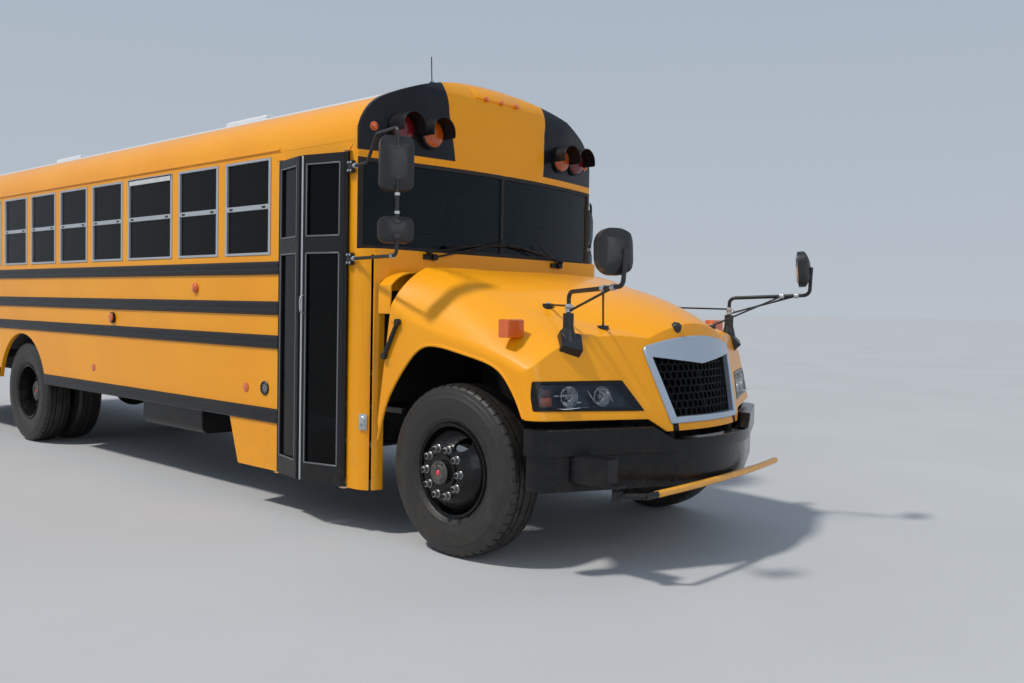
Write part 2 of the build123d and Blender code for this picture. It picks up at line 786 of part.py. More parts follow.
def window_pane(span, y_outer, side):
    """The two panes of one sash window."""
    middle = (window_sill_z + window_head_z) / 2
    panes = []
    for low, high in ((window_sill_z, middle), (middle, window_head_z)):
        y_mid = side * (y_outer - 14)
        panes.append(block((span[0] + frame_face + 1, span[1] - frame_face - 1),
                           (y_mid - glass_thickness / 2, y_mid + glass_thickness / 2),
                           (low + frame_face * 0.7 + 1, high - frame_face * 0.7 - 1)))
    return panes


def window_frames():
    """Frames of all side windows."""
    driver = (driver_window_rear, driver_window_front)
    frames = [window_frame(span, half_width, side) for side in (-1, 1) for span in window_spans()]
    return frames + [window_frame(driver, half_width, 1)]


def window_glass():
    """Panes of all side windows."""
    driver = (driver_window_rear, driver_window_front)
    panes = [pane for side in (-1, 1) for span in window_spans() for pane in window_pane(span, half_width,
                                                                                         side)]
    return panes + window_pane(driver, half_width, 1)


def rub_rails():
    """Ridged rails along both sides, broken at the rear wheels."""
    rails = []
    ridge = rail_proud
    for z_low, z_high in rail_bands:
        middle = (z_low + z_high) / 2
        for side, front in ((-1, door_front - door_width - 30), (1, door_front - 40)):
            face = side * (half_width + seat_gap)
            tip = side * (half_width + ridge)
            low = side * (half_width + ridge * 0.45)
            outline = face_of([(face, z_low), (low, z_low), (tip, z_low + 12), (tip, z_low + 32),
                               (low, middle), (tip, z_high - 32), (tip, z_high - 12), (low, z_high),
                               (face, z_high)])
            rail = front_plate(outline, body_rear + rear_skin, front)
            cut = side_plate(wheel_arch(rear_arch_radius + 8), -beyond_side, beyond_side)
            rails += list((rail - cut).solids())
    return rails


def roof_shell():
    """Curved roof between the two caps, with framed hatch openings."""
    back = body_rear + 150.0
    shell = front_plate(roof_section(0.0) - roof_section(wall), back, cap_seam)
    for x in hatch_places:
        half = hatch_size / 2
        shell += block((x - half, x + half), (-half, half), (roof_top_z - wall - 40, roof_top_z + hatch_rise))
        shell -= block((x - half + 30, x + half - 30), (-half + 30, half - 30),
                       (roof_top_z - 150, roof_top_z + 200))
        axis_x = x - half - hatch_clear - 12 - hatch_hinge_back
        axis_z = roof_top_z + hatch_hinge_up
        shell += bar((axis_x, -160, axis_z), (axis_x, 160, axis_z), 5)
        for y_range in ((-164, -146), (146, 164)):
            shell += block((axis_x - 9, axis_x + 9), y_range, (roof_top_z - 30, axis_z + 7))
    return shell


def front_cap():
    """Rounded cap over the windshield, with the brow along its lower edge."""
    proud = 10.0
    depth = (cap_seam, -600.0)
    outer = front_plate(roof_section(-proud), *depth)
    shape = flat([
        Line((cap_seam, brow_z), (cowl_front, brow_z)),
        Line((cowl_front, brow_z), (cowl_front - 22, 2560)),
        Line((cowl_front - 22, 2560), (cowl_front - 50, 2850)),
        ThreePointArc((cowl_front - 50, 2850), (cowl_front - 90, 3030), (cap_seam, roof_top_z + proud)),
        Line((cap_seam, roof_top_z + proud), (cap_seam, brow_z)),
    ])
    lower = block((cap_seam, -600), (-half_width - proud, half_width + proud), (brow_z, eaves_z))
    cap = (outer + lower) & side_plate(shape, -beyond_side, beyond_side)
    cap &= plan_plate(curved_front(0.0, back=cap_seam - 1), brow_z, roof_top_z + 100, 0.0)
    inside = roof_section(wall) + rectangle_between((-half_width + wall, half_width - wall),
                                                    (brow_z - 1, eaves_z + 1))
    hollow = front_plate(inside, cap_seam - 5, cowl_front) & plan_plate(curved_front(110.0), brow_z - 1,
                                                                        roof_top_z)
    return cap - hollow


def rear_wall():
    """Flat rear end with rounded corners, its door and window openings."""
    outline = roof_section(0.0) + rectangle_between((-half_width, half_width), (skirt_bottom, eaves_z + 1))
    slab = front_plate(outline, body_rear, body_rear + rear_skin)
    slab -= front_plate(rectangle_between((-rear_door_half, rear_door_half), (rear_door_low, rear_door_high)),
                        body_rear - 5, body_rear + rear_skin + 5)
    for side in (-1, 1):
        y_range = sorted((side * 600.0, side * 1080.0))
        slab -= block((body_rear - 5, body_rear + rear_skin + 5), y_range, (1900.0, 2480.0))
        y_range = (side * rail_y - rail_width / 2 - run_gap, side * rail_y + rail_width / 2 + run_gap)
        slab -= block((body_rear - 5, body_rear + rear_skin + 5), y_range,
                      (skirt_bottom - 5, rail_high + run_gap))
    cap = front_plate(roof_section(0.0) - roof_section(wall), body_rear + rear_skin - 1, body_rear + 150.0)
    return slab + cap + rear_hinges()


def cowl():
    """Body's front below and beside the windshield, with the flange that the hood closes on."""
    corner = cowl_corner
    outer = flat([
        Line((door_front, -half_width), (cowl_front - corner, -half_width)),
        ThreePointArc((cowl_front - corner, -half_width),
                      (cowl_front - corner + corner * math.sin(math.pi / 4),
                       -half_width + corner - corner * math.cos(math.pi / 4)),
                      (cowl_front, -half_width + corner)),
        Line((cowl_front, -half_width + corner), (cowl_front, half_width - corner)),
        ThreePointArc((cowl_front, half_width - corner),
                      (cowl_front - corner + corner * math.sin(math.pi / 4),
                       half_width - corner + corner * math.cos(math.pi / 4)),
                      (cowl_front - corner, half_width)),
        Line((cowl_front - corner, half_width), (door_front, half_width)),
        Line((door_front, half_width), (door_front, -half_width)),
    ])
    sill = windshield_sill_z - 12.0
    box = plan_plate(outer, low_panel_bottom, sill)
    box -= block((door_front - 5, cowl_front - wall), (-half_width + wall, half_width - wall),
                 (0, sill - wall))
    box -= block((cowl_front - wall - 5, cowl_front + 5), (-1100, 1100), (0, rail_high + 20))
    pillar_low = sill - 1
    for side in (-1, 1):
        y_range = sorted((side * half_width, side * (half_width - wall)))
        box += block((door_front, windshield_corner - 1.0), y_range, (pillar_low, brow_z))
        box += block((door_front, cap_seam), y_range, (brow_z - 1, eaves_z))
    ring_depth = (cowl_front - 1, cowl_front + 120)
    ring_outline = hood_section(*hood_sections[0], hood_skin + 14.0)
    hole_outline = hood_section(*hood_sections[0], hood_skin + 26.0)
    shift = along(ring_depth[0]) - along(hood_sections[0][0])
    ring = extrude(Pos(shift, 0, 0) * (ring_outline - hole_outline), ring_depth[1] - ring_depth[0])
    ring = ring & block((ring_depth[0], ring_depth[1]), (-beyond_side, beyond_side), (1450, 2000))
    header = block((door_front - door_width, door_front + seat_gap),
                   (-half_width - seat_gap, -half_width + wall),
                   (door_top - seat_gap, eaves_z))
    return box + ring + [plate - header for plate in leaf_pivots(True)]


def windshield_frame():
    """Rubber frame and centre strip round the two windshield panes."""
    z_low, z_high = windshield_sill_z - 12.0 + seat_gap, brow_z - seat_gap
    ring = plan_plate(curved_front(2.0), z_low, z_high, 0.0) - plan_plate(curved_front(34.0), z_low - 1,
                                                                          z_high + 1, 0.0)
    ring &= block((windshield_corner, cowl_front + 90), (-half_width, half_width), (z_low, z_high))
    edge = 26.0
    outline = rectangle_between((15.0, half_width - wall), (z_low + edge, z_high - edge))
    for side in (0, 1):
        pane = outline if side == 0 else mirror(outline, about=Plane.YZ)
        ring -= front_plate(pane, -1200, -500)
    return ring


def windshield_glass():
    """Two curved panes inside the frame."""
    z_low, z_high = windshield_sill_z - 12.0 + seat_gap, brow_z - seat_gap
    sheet = plan_plate(curved_front(12.0), z_low, z_high) - plan_plate(curved_front(20.0), z_low - 1,
                                                                       z_high + 1)
    edge = 26.0 + seat_gap
    pane = sheet & front_plate(rectangle_between((15.0 + seat_gap, half_width - wall - seat_gap),
                                                 (z_low + edge,
                                                  z_high - edge)), windshield_corner, cowl_front + 190)
    return both_sides(pane)


def floor():
    """Floor with the stepwell cut away and housings over the rear wheels."""
    inner = half_width - wall
    plate = block((body_rear + rear_skin, cowl_front - wall), (-inner, inner),
                  (floor_top - floor_thickness, floor_top))
    for x in floor_sills:
        plate += block((x - 30, x + 30), (-inner, inner),
                       (rail_high + seat_gap, floor_top - floor_thickness + 1))
    plate -= block((door_front - door_width, cowl_front), (-inner - 1, -inner + stepwell_depth), (0, 2000))
    plate -= block((door_front - door_width, door_front + seat_gap),
                   (-inner - 1, -inner + stepwell_depth + step_skin + seat_gap),
                   (0, floor_top - floor_thickness))
    for side in (-1, 1):
        y_range = sorted((side * inner, side * 540.0))
        dome = side_plate(Pos(rear_axle, tyre_radius) * Circle(rear_arch_radius + 10), *y_range)
        dome &= block((rear_axle - 700, rear_axle + 700), (-beyond_side, beyond_side),
                      (floor_top - floor_thickness, 1500))
        plate += dome
    for side in (-1, 1):
        y_range = sorted((side * (inner + 1), side * 550.0))
        plate -= side_plate(Pos(rear_axle, tyre_radius) * Circle(rear_arch_radius), *y_range)
    return plate


def entry_steps():
    """Stepwell: treads and risers climbing inwards from the door."""
    tread = stepwell_depth / step_count
    start_z = low_panel_bottom + 40.0
    rise = (floor_top - start_z) / step_count
    outer = -half_width + wall
    top = [(outer, start_z)]
    for index in range(step_count):
        top.append((outer + tread * (index + 1), start_z + rise * index))
        top.append((outer + tread * (index + 1), start_z + rise * (index + 1)))
    bottom = [(y + step_skin, z - step_skin) for y, z in reversed(top)]
    bottom[0] = (top[-1][0] + step_skin, floor_top - floor_thickness - seat_gap)
    bottom[-1] = (outer, start_z - step_skin)
    points = top[:-1] + [(top[-1][0], floor_top - floor_thickness - seat_gap)] + bottom
    return front_plate(face_of(points), door_front - door_width + seat_gap, door_front - seat_gap)


# Bumpers
bumper_nose = 1180.0
bumper_arc_radius = 1250.0
bumper_side = 1200.0
bumper_plate = 60.0
bumper_low = 490.0
bumper_step_z = 690.0
bumper_top = 842.0
bumper_centre_top = 765.0
bumper_back = 612.0


def bumper_plan(inset):
    """Plan of the front bumper, moved inwards by inset."""
    return nose_plan(inset, back=bumper_back, nose=bumper_nose, radius=bumper_arc_radius, side=bumper_side,
                     corner=120.0)


def front_bumper():
    """Wrapped front bumper: an upper step over a recessed lower face, low in the middle."""
    upper = plan_plate(bumper_plan(0.0), bumper_step_z, bumper_top)
    lower = plan_plate(bumper_plan(24.0), bumper_low, bumper_step_z)
    bumper = upper + lower - plan_plate(bumper_plan(bumper_plate + 24.0), bumper_low - 1, bumper_top + 1)
    dip = face_of([(-nose_v_half - 20, bumper_centre_top), (nose_v_half + 20, bumper_centre_top),
                   (nose_lip_half + 40, bumper_top + 1), (-nose_lip_half - 40, bumper_top + 1)])
    bumper -= front_plate(dip, 600.0, 1300.0)
    for side in (-1, 1):
        y_range = sorted((side * (rail_y - 30), side * (rail_y + 30)))
        bracket = block((rail_front + seat_gap, 1080.0), y_range, (rail_low + 20, rail_high - 120))
        bumper += bracket & plan_plate(bumper_plan(40.0), rail_low, rail_high)
        pocket_y = (side * hood_arm_y - hood_arm_width / 2 - run_gap,
                    side * hood_arm_y + hood_arm_width / 2 + run_gap)
        reach = hood_hinge_x + 14 + run_gap
        bumper -= block((800.0, reach), pocket_y, (hood_hinge_z - 14 - run_gap, bumper_top + 1))
        bumper += bar((hood_hinge_x, pocket_y[0] - 6, hood_hinge_z),
                      (hood_hinge_x, pocket_y[1] + 6, hood_hinge_z), hood_pin)
    return bumper


def rear_bumper():
    """Straight rear bumper with turned ends, on two brackets from the frame."""
    face = body_rear - bumper_depth
    plate = block((face, face + 14), (-half_width, half_width), (560, 800))
    for side in (-1, 1):
        y_range = sorted((side * half_width, side * (half_width - 14)))
        plate += block((face, face + 330), y_range, (560, skirt_bottom - 8))
        y_range = sorted((side * (rail_y - 30), side * (rail_y + 30)))
        plate += block((face + 5, body_rear + 60 - seat_gap), y_range, (rail_low + 20, rail_high - 60))
    return plate


# Lamps
warning_lamps_front = ((686.0, 2672.0), (916.0, 2679.0))
warning_lamps_rear = ((700.0, 2700.0), (930.0, 2690.0))
warning_radius = 88.0


def warning_lamps():
    """Hooded flashing lamps, two on each side at both ends."""
    lamps = []
    for y, z in warning_lamps_front:
        for side in (-1, 1):
            reach = windshield_radius - math.sqrt(windshield_radius ** 2 - y ** 2)
            back = cowl_front - reach - 90.0
            body = bar((back, side * y, z), (back + 120, side * y, z), warning_radius + 14)
            hood = bar((back + 60, side * y, z), (back + 235, side * y, z), warning_radius + 14)
            hood -= bar((back + 50, side * y, z), (back + 240, side * y, z), warning_radius + 6)
            hood -= block((back, back + 240), (side * y - 200, side * y + 200), (z - 200, z - 30))
            lamps.append(body + hood - front_cap())
    for y, z in warning_lamps_rear:
        for side in (-1, 1):
            back = body_rear - seat_gap
            body = bar((back, side * y, z), (back - 40, side * y, z), warning_radius + 14)
            hood = bar((back - 5, side * y, z), (back - 100, side * y, z), warning_radius + 14)
            hood -= bar((back, side * y, z), (back - 110, side * y, z), warning_radius + 6)
            hood -= block((back - 120, back + 5), (side * y - 200, side * y + 200), (z - 200, z - 30))
            lamps.append(body + hood)
    return lamps


def marker_lamps():
    """Small lamps on roof, sides and rear."""
    lamps = []
    face = half_width + seat_gap
    for x in (-4300.0, -8100.0):
        for side in (-1, 1):
            lamps.append(bar((x, side * face, 1345), (x, side * (face + 22), 1345), 48))
    back = body_rear - seat_gap
    for y, z, radius in ((1010.0, 1500.0, 90.0), (1010.0, 1270.0, 90.0), (1010.0, 1060.0, 55.0)):
        for side in (-1, 1):
            lamps.append(bar((back, side * y, z), (back - 28, side * y, z), radius))
    for y in (-150.0, 0.0, 150.0):
        lamps.append(block((back - 30, back), (y - 45, y + 45), (2930, 2965)))
    return lamps


# Entry door leaves, hinged at the opening's front and rear edges
leaf_clear = 9.0
leaf_width = (door_width - 3 * leaf_clear) / 2
leaf_stile = 42.0
leaf_panes = ((1960.0, 2430.0), (440.0, 1840.0))


def place_leaf(shape, at_front):
    """Turn a leaf that was made closed about its hinge to where it stands, a little open."""
    edge = leaf_edge(at_front)
    angle = leaf_ajar_deg if at_front else -leaf_ajar_deg
    axis = Axis((along(edge), -half_width - leaf_thickness / 2, 0), (0, 0, 1))
    return shape.rotate(axis, angle)


def leaf_edge(at_front):
    """X of a leaf's hinge."""
    return door_front - leaf_clear if at_front else door_front - door_width + leaf_clear


def leaf_pivots(at_front):
    """Plates above and below a leaf, with the pins that it turns on."""
    edge = leaf_edge(at_front)
    toward = 1 if at_front else -1
    x_range = sorted((edge - toward * 14, edge + toward * 40))
    y_range = (-half_width - 2 * leaf_thickness / 2 - 2, -half_width + 1)
    y_pin = -half_width - leaf_thickness / 2
    plates = []
    for plate_low, pin_far in ((door_bottom - run_gap - pivot_plate, door_bottom + 30),
                               (door_top - 8 + run_gap, door_top - 38)):
        plate = block(x_range, y_range, (plate_low, plate_low + pivot_plate))
        pin_low, pin_high = sorted((plate_low + pivot_plate / 2, pin_far))
        plates.append(plate + bar((edge, y_pin, pin_low), (edge, y_pin, pin_high), pivot_pin))
    return plates


def leaf_span(at_front):
    """X limits of a closed leaf."""
    if at_front:
        return (door_front - leaf_clear - leaf_width, door_front - leaf_clear)
    return (door_front - door_width + leaf_clear, door_front - door_width + leaf_clear + leaf_width)


def door_leaf(at_front):
    """Door leaf with its two window openings and edge seal."""
    x_range = leaf_span(at_front)
    y_range = (-half_width - leaf_thickness, -half_width - 1.0)
    leaf = block(x_range, y_range, (door_bottom, door_top - 8))
    for pane in leaf_panes:
        leaf -= block((x_range[0] + leaf_stile, x_range[1] - leaf_stile), (y_range[0] - 5, y_range[1] + 5),
                      pane)
    y_pin = -half_width - leaf_thickness / 2
    edge = leaf_edge(at_front)
    leaf += bar((edge, y_pin, door_bottom), (edge, y_pin, door_top - 8), leaf_thickness / 2 - 1)
    for z in (door_bottom, door_top - 8):
        leaf -= bar((edge, y_pin, z - 35), (edge, y_pin, z + 35), pivot_pin + pin_clearance)
    return place_leaf(leaf, at_front)


def door_glass():
    """Both leaves' panes, front leaf first."""
    leaves = []
    for at_front in (True, False):
        x_range = leaf_span(at_front)
        y_middle = -half_width - leaf_thickness / 2
        panes = [block((x_range[0] + leaf_stile + seat_gap, x_range[1] - leaf_stile - seat_gap),
                       (y_middle - 3, y_middle + 3), (low + seat_gap,
                                                      high - seat_gap)) for low, high in leaf_panes]
        leaves.append([place_leaf(pane, at_front) for pane in panes])
    return leaves


def rear_door():
    """Emergency door with its window opening and handle."""
    gap = run_gap
    x_range = (body_rear + 4, body_rear + rear_skin - 4)
    door = block(x_range, (-rear_door_half + gap, rear_door_half - gap),
                 (rear_door_low + gap, rear_door_high - gap))
    for low, high in ((1900.0, 2440.0), (1160.0, 1560.0)):
        door -= block((x_range[0] - 5, x_range[1] + 5), (-rear_door_half + 110, rear_door_half - 110),
                      (low, high))
    handle = bar((body_rear - 40, rear_door_half - 230, 1700), (body_rear - 40, rear_door_half - 60, 1700),
                 12)
    for y in (rear_door_half - 220, rear_door_half - 70):
        handle += bar((body_rear - 40, y, 1700), (body_rear + 6, y, 1700), 10)
    hinge_x, hinge_y = rear_hinge
    for z in rear_hinge_z:
        door += block((hinge_x, body_rear + 6), (hinge_y + 2, hinge_y + 60), (z, z + 60))
        door += bar((hinge_x, hinge_y, z), (hinge_x, hinge_y, z + 60), 10)
        door -= bar((hinge_x, hinge_y, z - 5), (hinge_x, hinge_y, z + 65), 6 + pin_clearance)
    return door + handle


def rear_hinges():
    """Ears and pins on the rear wall that carry the emergency door."""
    hinge_x, hinge_y = rear_hinge
    parts = []
    for z in rear_hinge_z:
        hinge = bar((hinge_x, hinge_y, z - 16), (hinge_x, hinge_y, z + 76), 6)
        for low in (z - 18, z + 66):
            hinge += block((hinge_x - 10, body_rear + 1), (hinge_y - 30, hinge_y + 8), (low, low + 12))
        parts.append(hinge)
    return parts


def rear_glass():
    """Panes in the emergency door, then panes in the rear wall."""
    middle = body_rear + rear_skin / 2
    pane_x = (middle - 3, middle + 3)
    door_panes = [block(pane_x, (-rear_door_half + 110 + seat_gap, rear_door_half - 110 - seat_gap),
                        (low + seat_gap, high - seat_gap)) for low, high in ((1900.0, 2440.0),
                                                                             (1160.0, 1560.0))]
    wall_panes = []
    for side in (-1, 1):
        y_range = sorted((side * (600.0 + seat_gap), side * (1080.0 - seat_gap)))
        wall_panes.append(block(pane_x, y_range, (1900.0 + seat_gap, 2480.0 - seat_gap)))
    return door_panes, wall_panes


rear_hinge = (body_rear - 14.0, -rear_door_half + 2.0)
rear_hinge_z = (1200.0, 1740.0, 2300.0)


# Mirrors. The heads turn their glass towards the driver, and the tube runs over their backs.
mirror_turn = 29.0
mirror_tube = 11.0
mirror_tube_stand = 52.0
mirror_glass_back = 22.0
# Each head: width, height, depth of its back at the middle and at its rim
mirror_heads = ((205.0, 323.0, 74.0, 38.0), (212.0, 157.0, 70.0, 40.0))
mirror_arms = (1802.0, 2399.0)
mirror_foot_x = -890.0
# On the door side and the driver's side: middle of the heads in x, y and z, and top of the tube
mirror_places = (
    (-1, -300.0, 1362.0, (2350.0, 1956.0), 2560.0),
    (1, -1005.0, 1375.0, (2190.0, 1918.0), mirror_arms[1]),
)


def crowned(width, height, rim, crown, corner):
    """Closed shell from a flat face at z 0 to a crowned back, with rounded corners."""
    body = extrude(RectangleRounded(width, height, corner), crown)
    for length, turn in ((width, Rot(90, 0, 0)), (height, Rot(0, 0, 90) * Rot(90, 0, 0))):
        half = length / 2 + 1
        body &= turn * extrude(flat([
            Line((-half, -1), (half, -1)),
            Line((half, -1), (half, rim)),
            ThreePointArc((half, rim), (0, crown), (-half, rim)),
            Line((-half, rim), (-half, -1)),
        ]), 600, both=True)
    return body


def rear_mirror(side, head_x, head_y, head_z, over):
    """Two mirror heads on a tube that stands on two arms from the body's side."""
    turn = math.radians(mirror_turn)
    out = Vector(math.cos(turn), side * math.sin(turn), 0)
    across = Vector(-side * math.sin(turn), math.cos(turn), 0)
    tube_x = head_x + mirror_tube_stand * out.X
    tube_y = side * head_y + mirror_tube_stand * out.Y
    wall_y = side * (half_width + 14)
    low, high = mirror_arms
    reach = tube_x - mirror_foot_x

    def on_arm(share, z):
        return (mirror_foot_x + share * reach, wall_y + share * (tube_y - wall_y), z)

    rise = [on_arm(0.36, high), on_arm(0.56, over)] if over > high else []
    piece = bent_bar([on_arm(0, high), *rise, on_arm(1, over), on_arm(1, low), on_arm(0, low)], mirror_tube,
                     40)
    for z in (low, high):
        y_range = sorted((side * (half_width + seat_gap), side * (half_width + 30)))
        piece += block((mirror_foot_x - 25, mirror_foot_x + 25), y_range, (z - 40, z + 40))
    for (width, height, crown, rim), middle_z in zip(mirror_heads, head_z):
        head = crowned(width, height, rim + mirror_glass_back, crown + mirror_glass_back, 48)
        back = Vector(along(head_x), side * head_y, middle_z) - out * mirror_glass_back
        piece += Plane(origin=back, x_dir=across, z_dir=out) * head
    return piece


cross_post = (676.0, 905.0)
cross_post_top = 1600.0
cross_head = (1130.0, 1100.0, 1807.0)
cross_head_size = (212.0, 246.0)
cross_head_rim = 42.0
cross_head_crown = 84.0
cross_head_facing = (0.90, 0.42, 0.08)
cross_tube = 12.5
cross_plate = 128.0
cross_plate_slope = 42.0


def hood_height(x, y):
    """Height of the hood's outer face at a place, found by a plumb line."""
    line = bar((x, y, 1000.0), (x, y, 1900.0), 1.0)
    hit = line & hood_loft(0.0)
    return hit.bounding_box().max.Z


def crossview_mirror(side):
    """Convex mirror on a post that stands on the fender, with its stays."""
    x, y = cross_post
    ground = hood_height(x, y)
    head = Vector(along(cross_head[0]), side * cross_head[1], cross_head[2])
    out = Vector(cross_head_facing[0], side * cross_head_facing[1], cross_head_facing[2]).normalized()
    across = Vector(-out.Y, out.X, 0).normalized()
    top = cross_post_top
    stem = (1192.0, side * 1092.0)
    post = bent_bar([(x, side * y, ground + 45), (x, side * y, top), (stem[0] - 8, stem[1], top + 28),
                     (*stem, cross_head[2] + 12)], cross_tube, 42)
    cuff = bar((x, side * y, ground + 12), (x, side * y, ground + 150), 31)
    boot = Pos(along(x), side * y, ground + 10) * Cone(60, 33, 110)
    plate = Rot(side * -20, cross_plate_slope, 0) * Rot(0, 0, 45) * Box(cross_plate, cross_plate, 90)
    plate = Pos(along(x + 8), side * y, ground - 32) * plate
    shell = crowned(*cross_head_size, cross_head_rim, cross_head_crown, 88)
    base = head - out * (cross_head_rim - 8)
    mirror_piece = post + cuff + boot + plate + Plane(origin=base, x_dir=across, z_dir=out) * shell
    for foot, joint in (
        ((355.0, 706.0), (x, y, 1522.0)),
        ((703.0, 612.0), (1010.0, 1030.0, top + 18)),
    ):
        foot_z = hood_height(*foot)
        mirror_piece += bar((foot[0], side * foot[1], foot_z + 6), (joint[0], side * joint[1], joint[2]), 6)
        mirror_piece += bar((foot[0], side * foot[1], foot_z - 20), (foot[0], side * foot[1], foot_z + 14),
                            34)
    brace_low = (x, side * y, ground + 160)
    mirror_piece += bar(brace_low, (1095.0, side * 1060.0, top + 20), 7)
    mirror_piece -= hood_loft(-seat_gap) & nose_prism(-seat_gap)
    return mirror_piece.solids().sort_by(SortBy.VOLUME)[-1]


# Crossing gate and stop arm
gate_z = 510.0
gate_hinge = (1100.0, -985.0)
gate_root = (1215.0, -892.0)
gate_middle = (1200.0, 0.0)
gate_tip = (1103.0, 817.0)
gate_radius = 20.0


def crossing_gate():
    """Bowed rod that swings out ahead of the bumper, with its root bracket."""
    path = ThreePointArc(Vector(along(gate_root[0]), gate_root[1], gate_z),
                         Vector(along(gate_middle[0]), gate_middle[1], gate_z),
                         Vector(along(gate_tip[0]), gate_tip[1], gate_z))
    rod = sweep(Plane(origin=path @ 0, z_dir=path % 0) * Circle(gate_radius), path=path)
    root = bar((gate_hinge[0], gate_hinge[1], gate_z), (gate_root[0], gate_root[1] + 6, gate_z), 17)
    eye = bar((*gate_hinge, gate_z - 30), (*gate_hinge, gate_z + 30), 28)
    pin_hole = bar((*gate_hinge, gate_z - 60), (*gate_hinge, gate_z + 60), 12.3)
    return rod + root + eye - pin_hole


def gate_bracket():
    """Housing on the bumper with the gate's hinge pin."""
    x, y = gate_hinge
    reach = block((700.0, x - 40), (y - 40, y + 60), (gate_z + 36, gate_z + 190))
    reach += block((x - 60, x + 30), (y - 40, y + 40), (gate_z + 36, gate_z + 60))
    reach -= plan_plate(bumper_plan(24.0 - seat_gap), bumper_low - 10, bumper_step_z)
    reach -= plan_plate(bumper_plan(-seat_gap), bumper_step_z, bumper_top + 5)
    largest = reach.solids().sort_by(SortBy.VOLUME)[-1]
    return largest + bar((x, y, gate_z - 36), (x, y, gate_z + 40), 12)


def stop_arm():
    """Blank eight-sided sign folded against the left side, on its hinge block."""
    y = half_width + 62.0
    radius = stop_sign_across / 2 / math.cos(math.pi / 8)
    centre = stop_arm_x - 40 - stop_sign_across / 2
    outline = Pos(centre, stop_arm_z) * RegularPolygon(radius, 8, rotation=22.5)
    sign = side_plate(outline, y - 8, y + 8)
    arm = block((centre + 60, stop_arm_x), (y - 13, y + 13), (stop_arm_z - 60, stop_arm_z + 60))
    barrel = bar((stop_arm_x, y, stop_arm_z - 90), (stop_arm_x, y, stop_arm_z + 90), 16)
    hole = bar((stop_arm_x, y, stop_arm_z - 200), (stop_arm_x, y, stop_arm_z + 200), 8.3)
    return sign + arm + barrel - hole


def stop_arm_bracket():
    """Box on the wall whose two ears hold the stop arm's pin."""
    y = half_width + 62.0
    box = block((stop_arm_x + 30, stop_arm_x + 210), (half_width + seat_gap, y + 20),
                (stop_arm_z - 130, stop_arm_z + 130))
    box -= rub_cut()
    for z in (-112, 112):
        box += block((stop_arm_x - 14, stop_arm_x + 31), (y - 16, y + 16),
                     (stop_arm_z + z - 14, stop_arm_z + z + 14))
    return box + bar((stop_arm_x, y, stop_arm_z - 120), (stop_arm_x, y, stop_arm_z + 120), 8)


def rub_cut():
    """Room for the rub rails behind what stands on the left wall."""
    cut = []
    for z_low, z_high in rail_bands:
        cut.append(block((body_rear, door_front), (half_width - 5, half_width + rail_proud + 2),
                         (z_low - 2, z_high + 2)))
    return cut


def roof_hatch(x):
    """Lid that closes on its frame in the roof."""
    half = hatch_size / 2 + hatch_clear + 12
    lid = block((x - half, x + half), (-half, half), (roof_top_z + 8, roof_top_z + hatch_rise + 34))
    inner = hatch_size / 2 + hatch_clear
    lid -= block((x - inner, x + inner), (-inner, inner), (roof_top_z, roof_top_z + hatch_rise + run_gap))
    lid -= front_plate(roof_section(-run_gap), x - 600, x + 600)
    lid = chamfer(lid.faces().sort_by(Axis.Z)[-1].edges(), 14)
    axis_x = x - half - hatch_hinge_back
    axis_z = roof_top_z + hatch_hinge_up
    lid += bar((axis_x, -140, axis_z), (axis_x, 140, axis_z), 8)
    lid += block((axis_x, x - half + 2), (-140, 140), (axis_z - 2, axis_z + 8))
    return lid - bar((axis_x, -150, axis_z), (axis_x, 150, axis_z), 5 + pin_clearance)


# Inside
bench_rows = 11
bench_first = -2280.0
bench_pitch = 700.0
bench_width = 990.0
bench_leg_high = 300.0
cushion_thick = 130.0
cushion_deep = 400.0
back_high = 620.0
back_thick = 90.0


def bench_seats():
    """Cushions and backs of every bench."""
    benches = []
    seat_z = floor_top + bench_leg_high
    for row in range(bench_rows):
        x = bench_first - row * bench_pitch
        for side in (-1, 1):
            y_range = sorted((side * (half_width - wall - 25), side * (half_width - wall - 25 - bench_width)))
            cushion = block((x - cushion_deep, x), y_range, (seat_z, seat_z + cushion_thick))
            back = block((x - cushion_deep - back_thick, x - cushion_deep - seat_gap), y_range,
                         (seat_z - 20, seat_z + cushion_thick + back_high))
            benches += [cushion, back]
    return benches


def bench_frames():
    """Tube frames that carry the benches from the floor."""
    frames = []
    for row in range(bench_rows):
        x = bench_first - row * bench_pitch
        for side in (-1, 1):
            y_inner = side * (half_width - wall - 25 - bench_width + 60)
            y_outer = side * (half_width - wall - 70)
            y_range = sorted((y_inner, y_outer))
            top = floor_top + bench_leg_high
            frame = block((x - cushion_deep + 40, x - 40), y_range, (top - 24, top - seat_gap))
            for low_y in (y_range[0], y_range[1] - 30):
                for leg_x in (x - cushion_deep + 40, x - 70):
                    frame += block((leg_x, leg_x + 30), (low_y, low_y + 30), (floor_top + seat_gap, top - 20))
            dome = Pos(rear_axle, tyre_radius) * Circle(rear_arch_radius + 10 + seat_gap)
            frame -= side_plate(dome, -beyond_side, beyond_side)
            frames.append(frame)
    return frames


driver_x = -1560.0
driver_y = 620.0


def driver_seat():
    """Driver's seat with a high back on a pedestal."""
    seat_z = floor_top + 420
    cushion = block((driver_x - 240, driver_x + 240), (driver_y - 250, driver_y + 250),
                    (seat_z, seat_z + 130))
    back = block((driver_x - 340, driver_x - 235), (driver_y - 240, driver_y + 240),
                 (seat_z + 60, seat_z + 820))
    pedestal = block((driver_x - 150, driver_x + 150), (driver_y - 150, driver_y + 150),
                     (floor_top + seat_gap, seat_z + 10))
    return fillet(cushion.edges().filter_by(Axis.Z), 40) + fillet(back.edges().filter_by(Axis.X),
                                                                  50) + pedestal


dash_right = -480.0


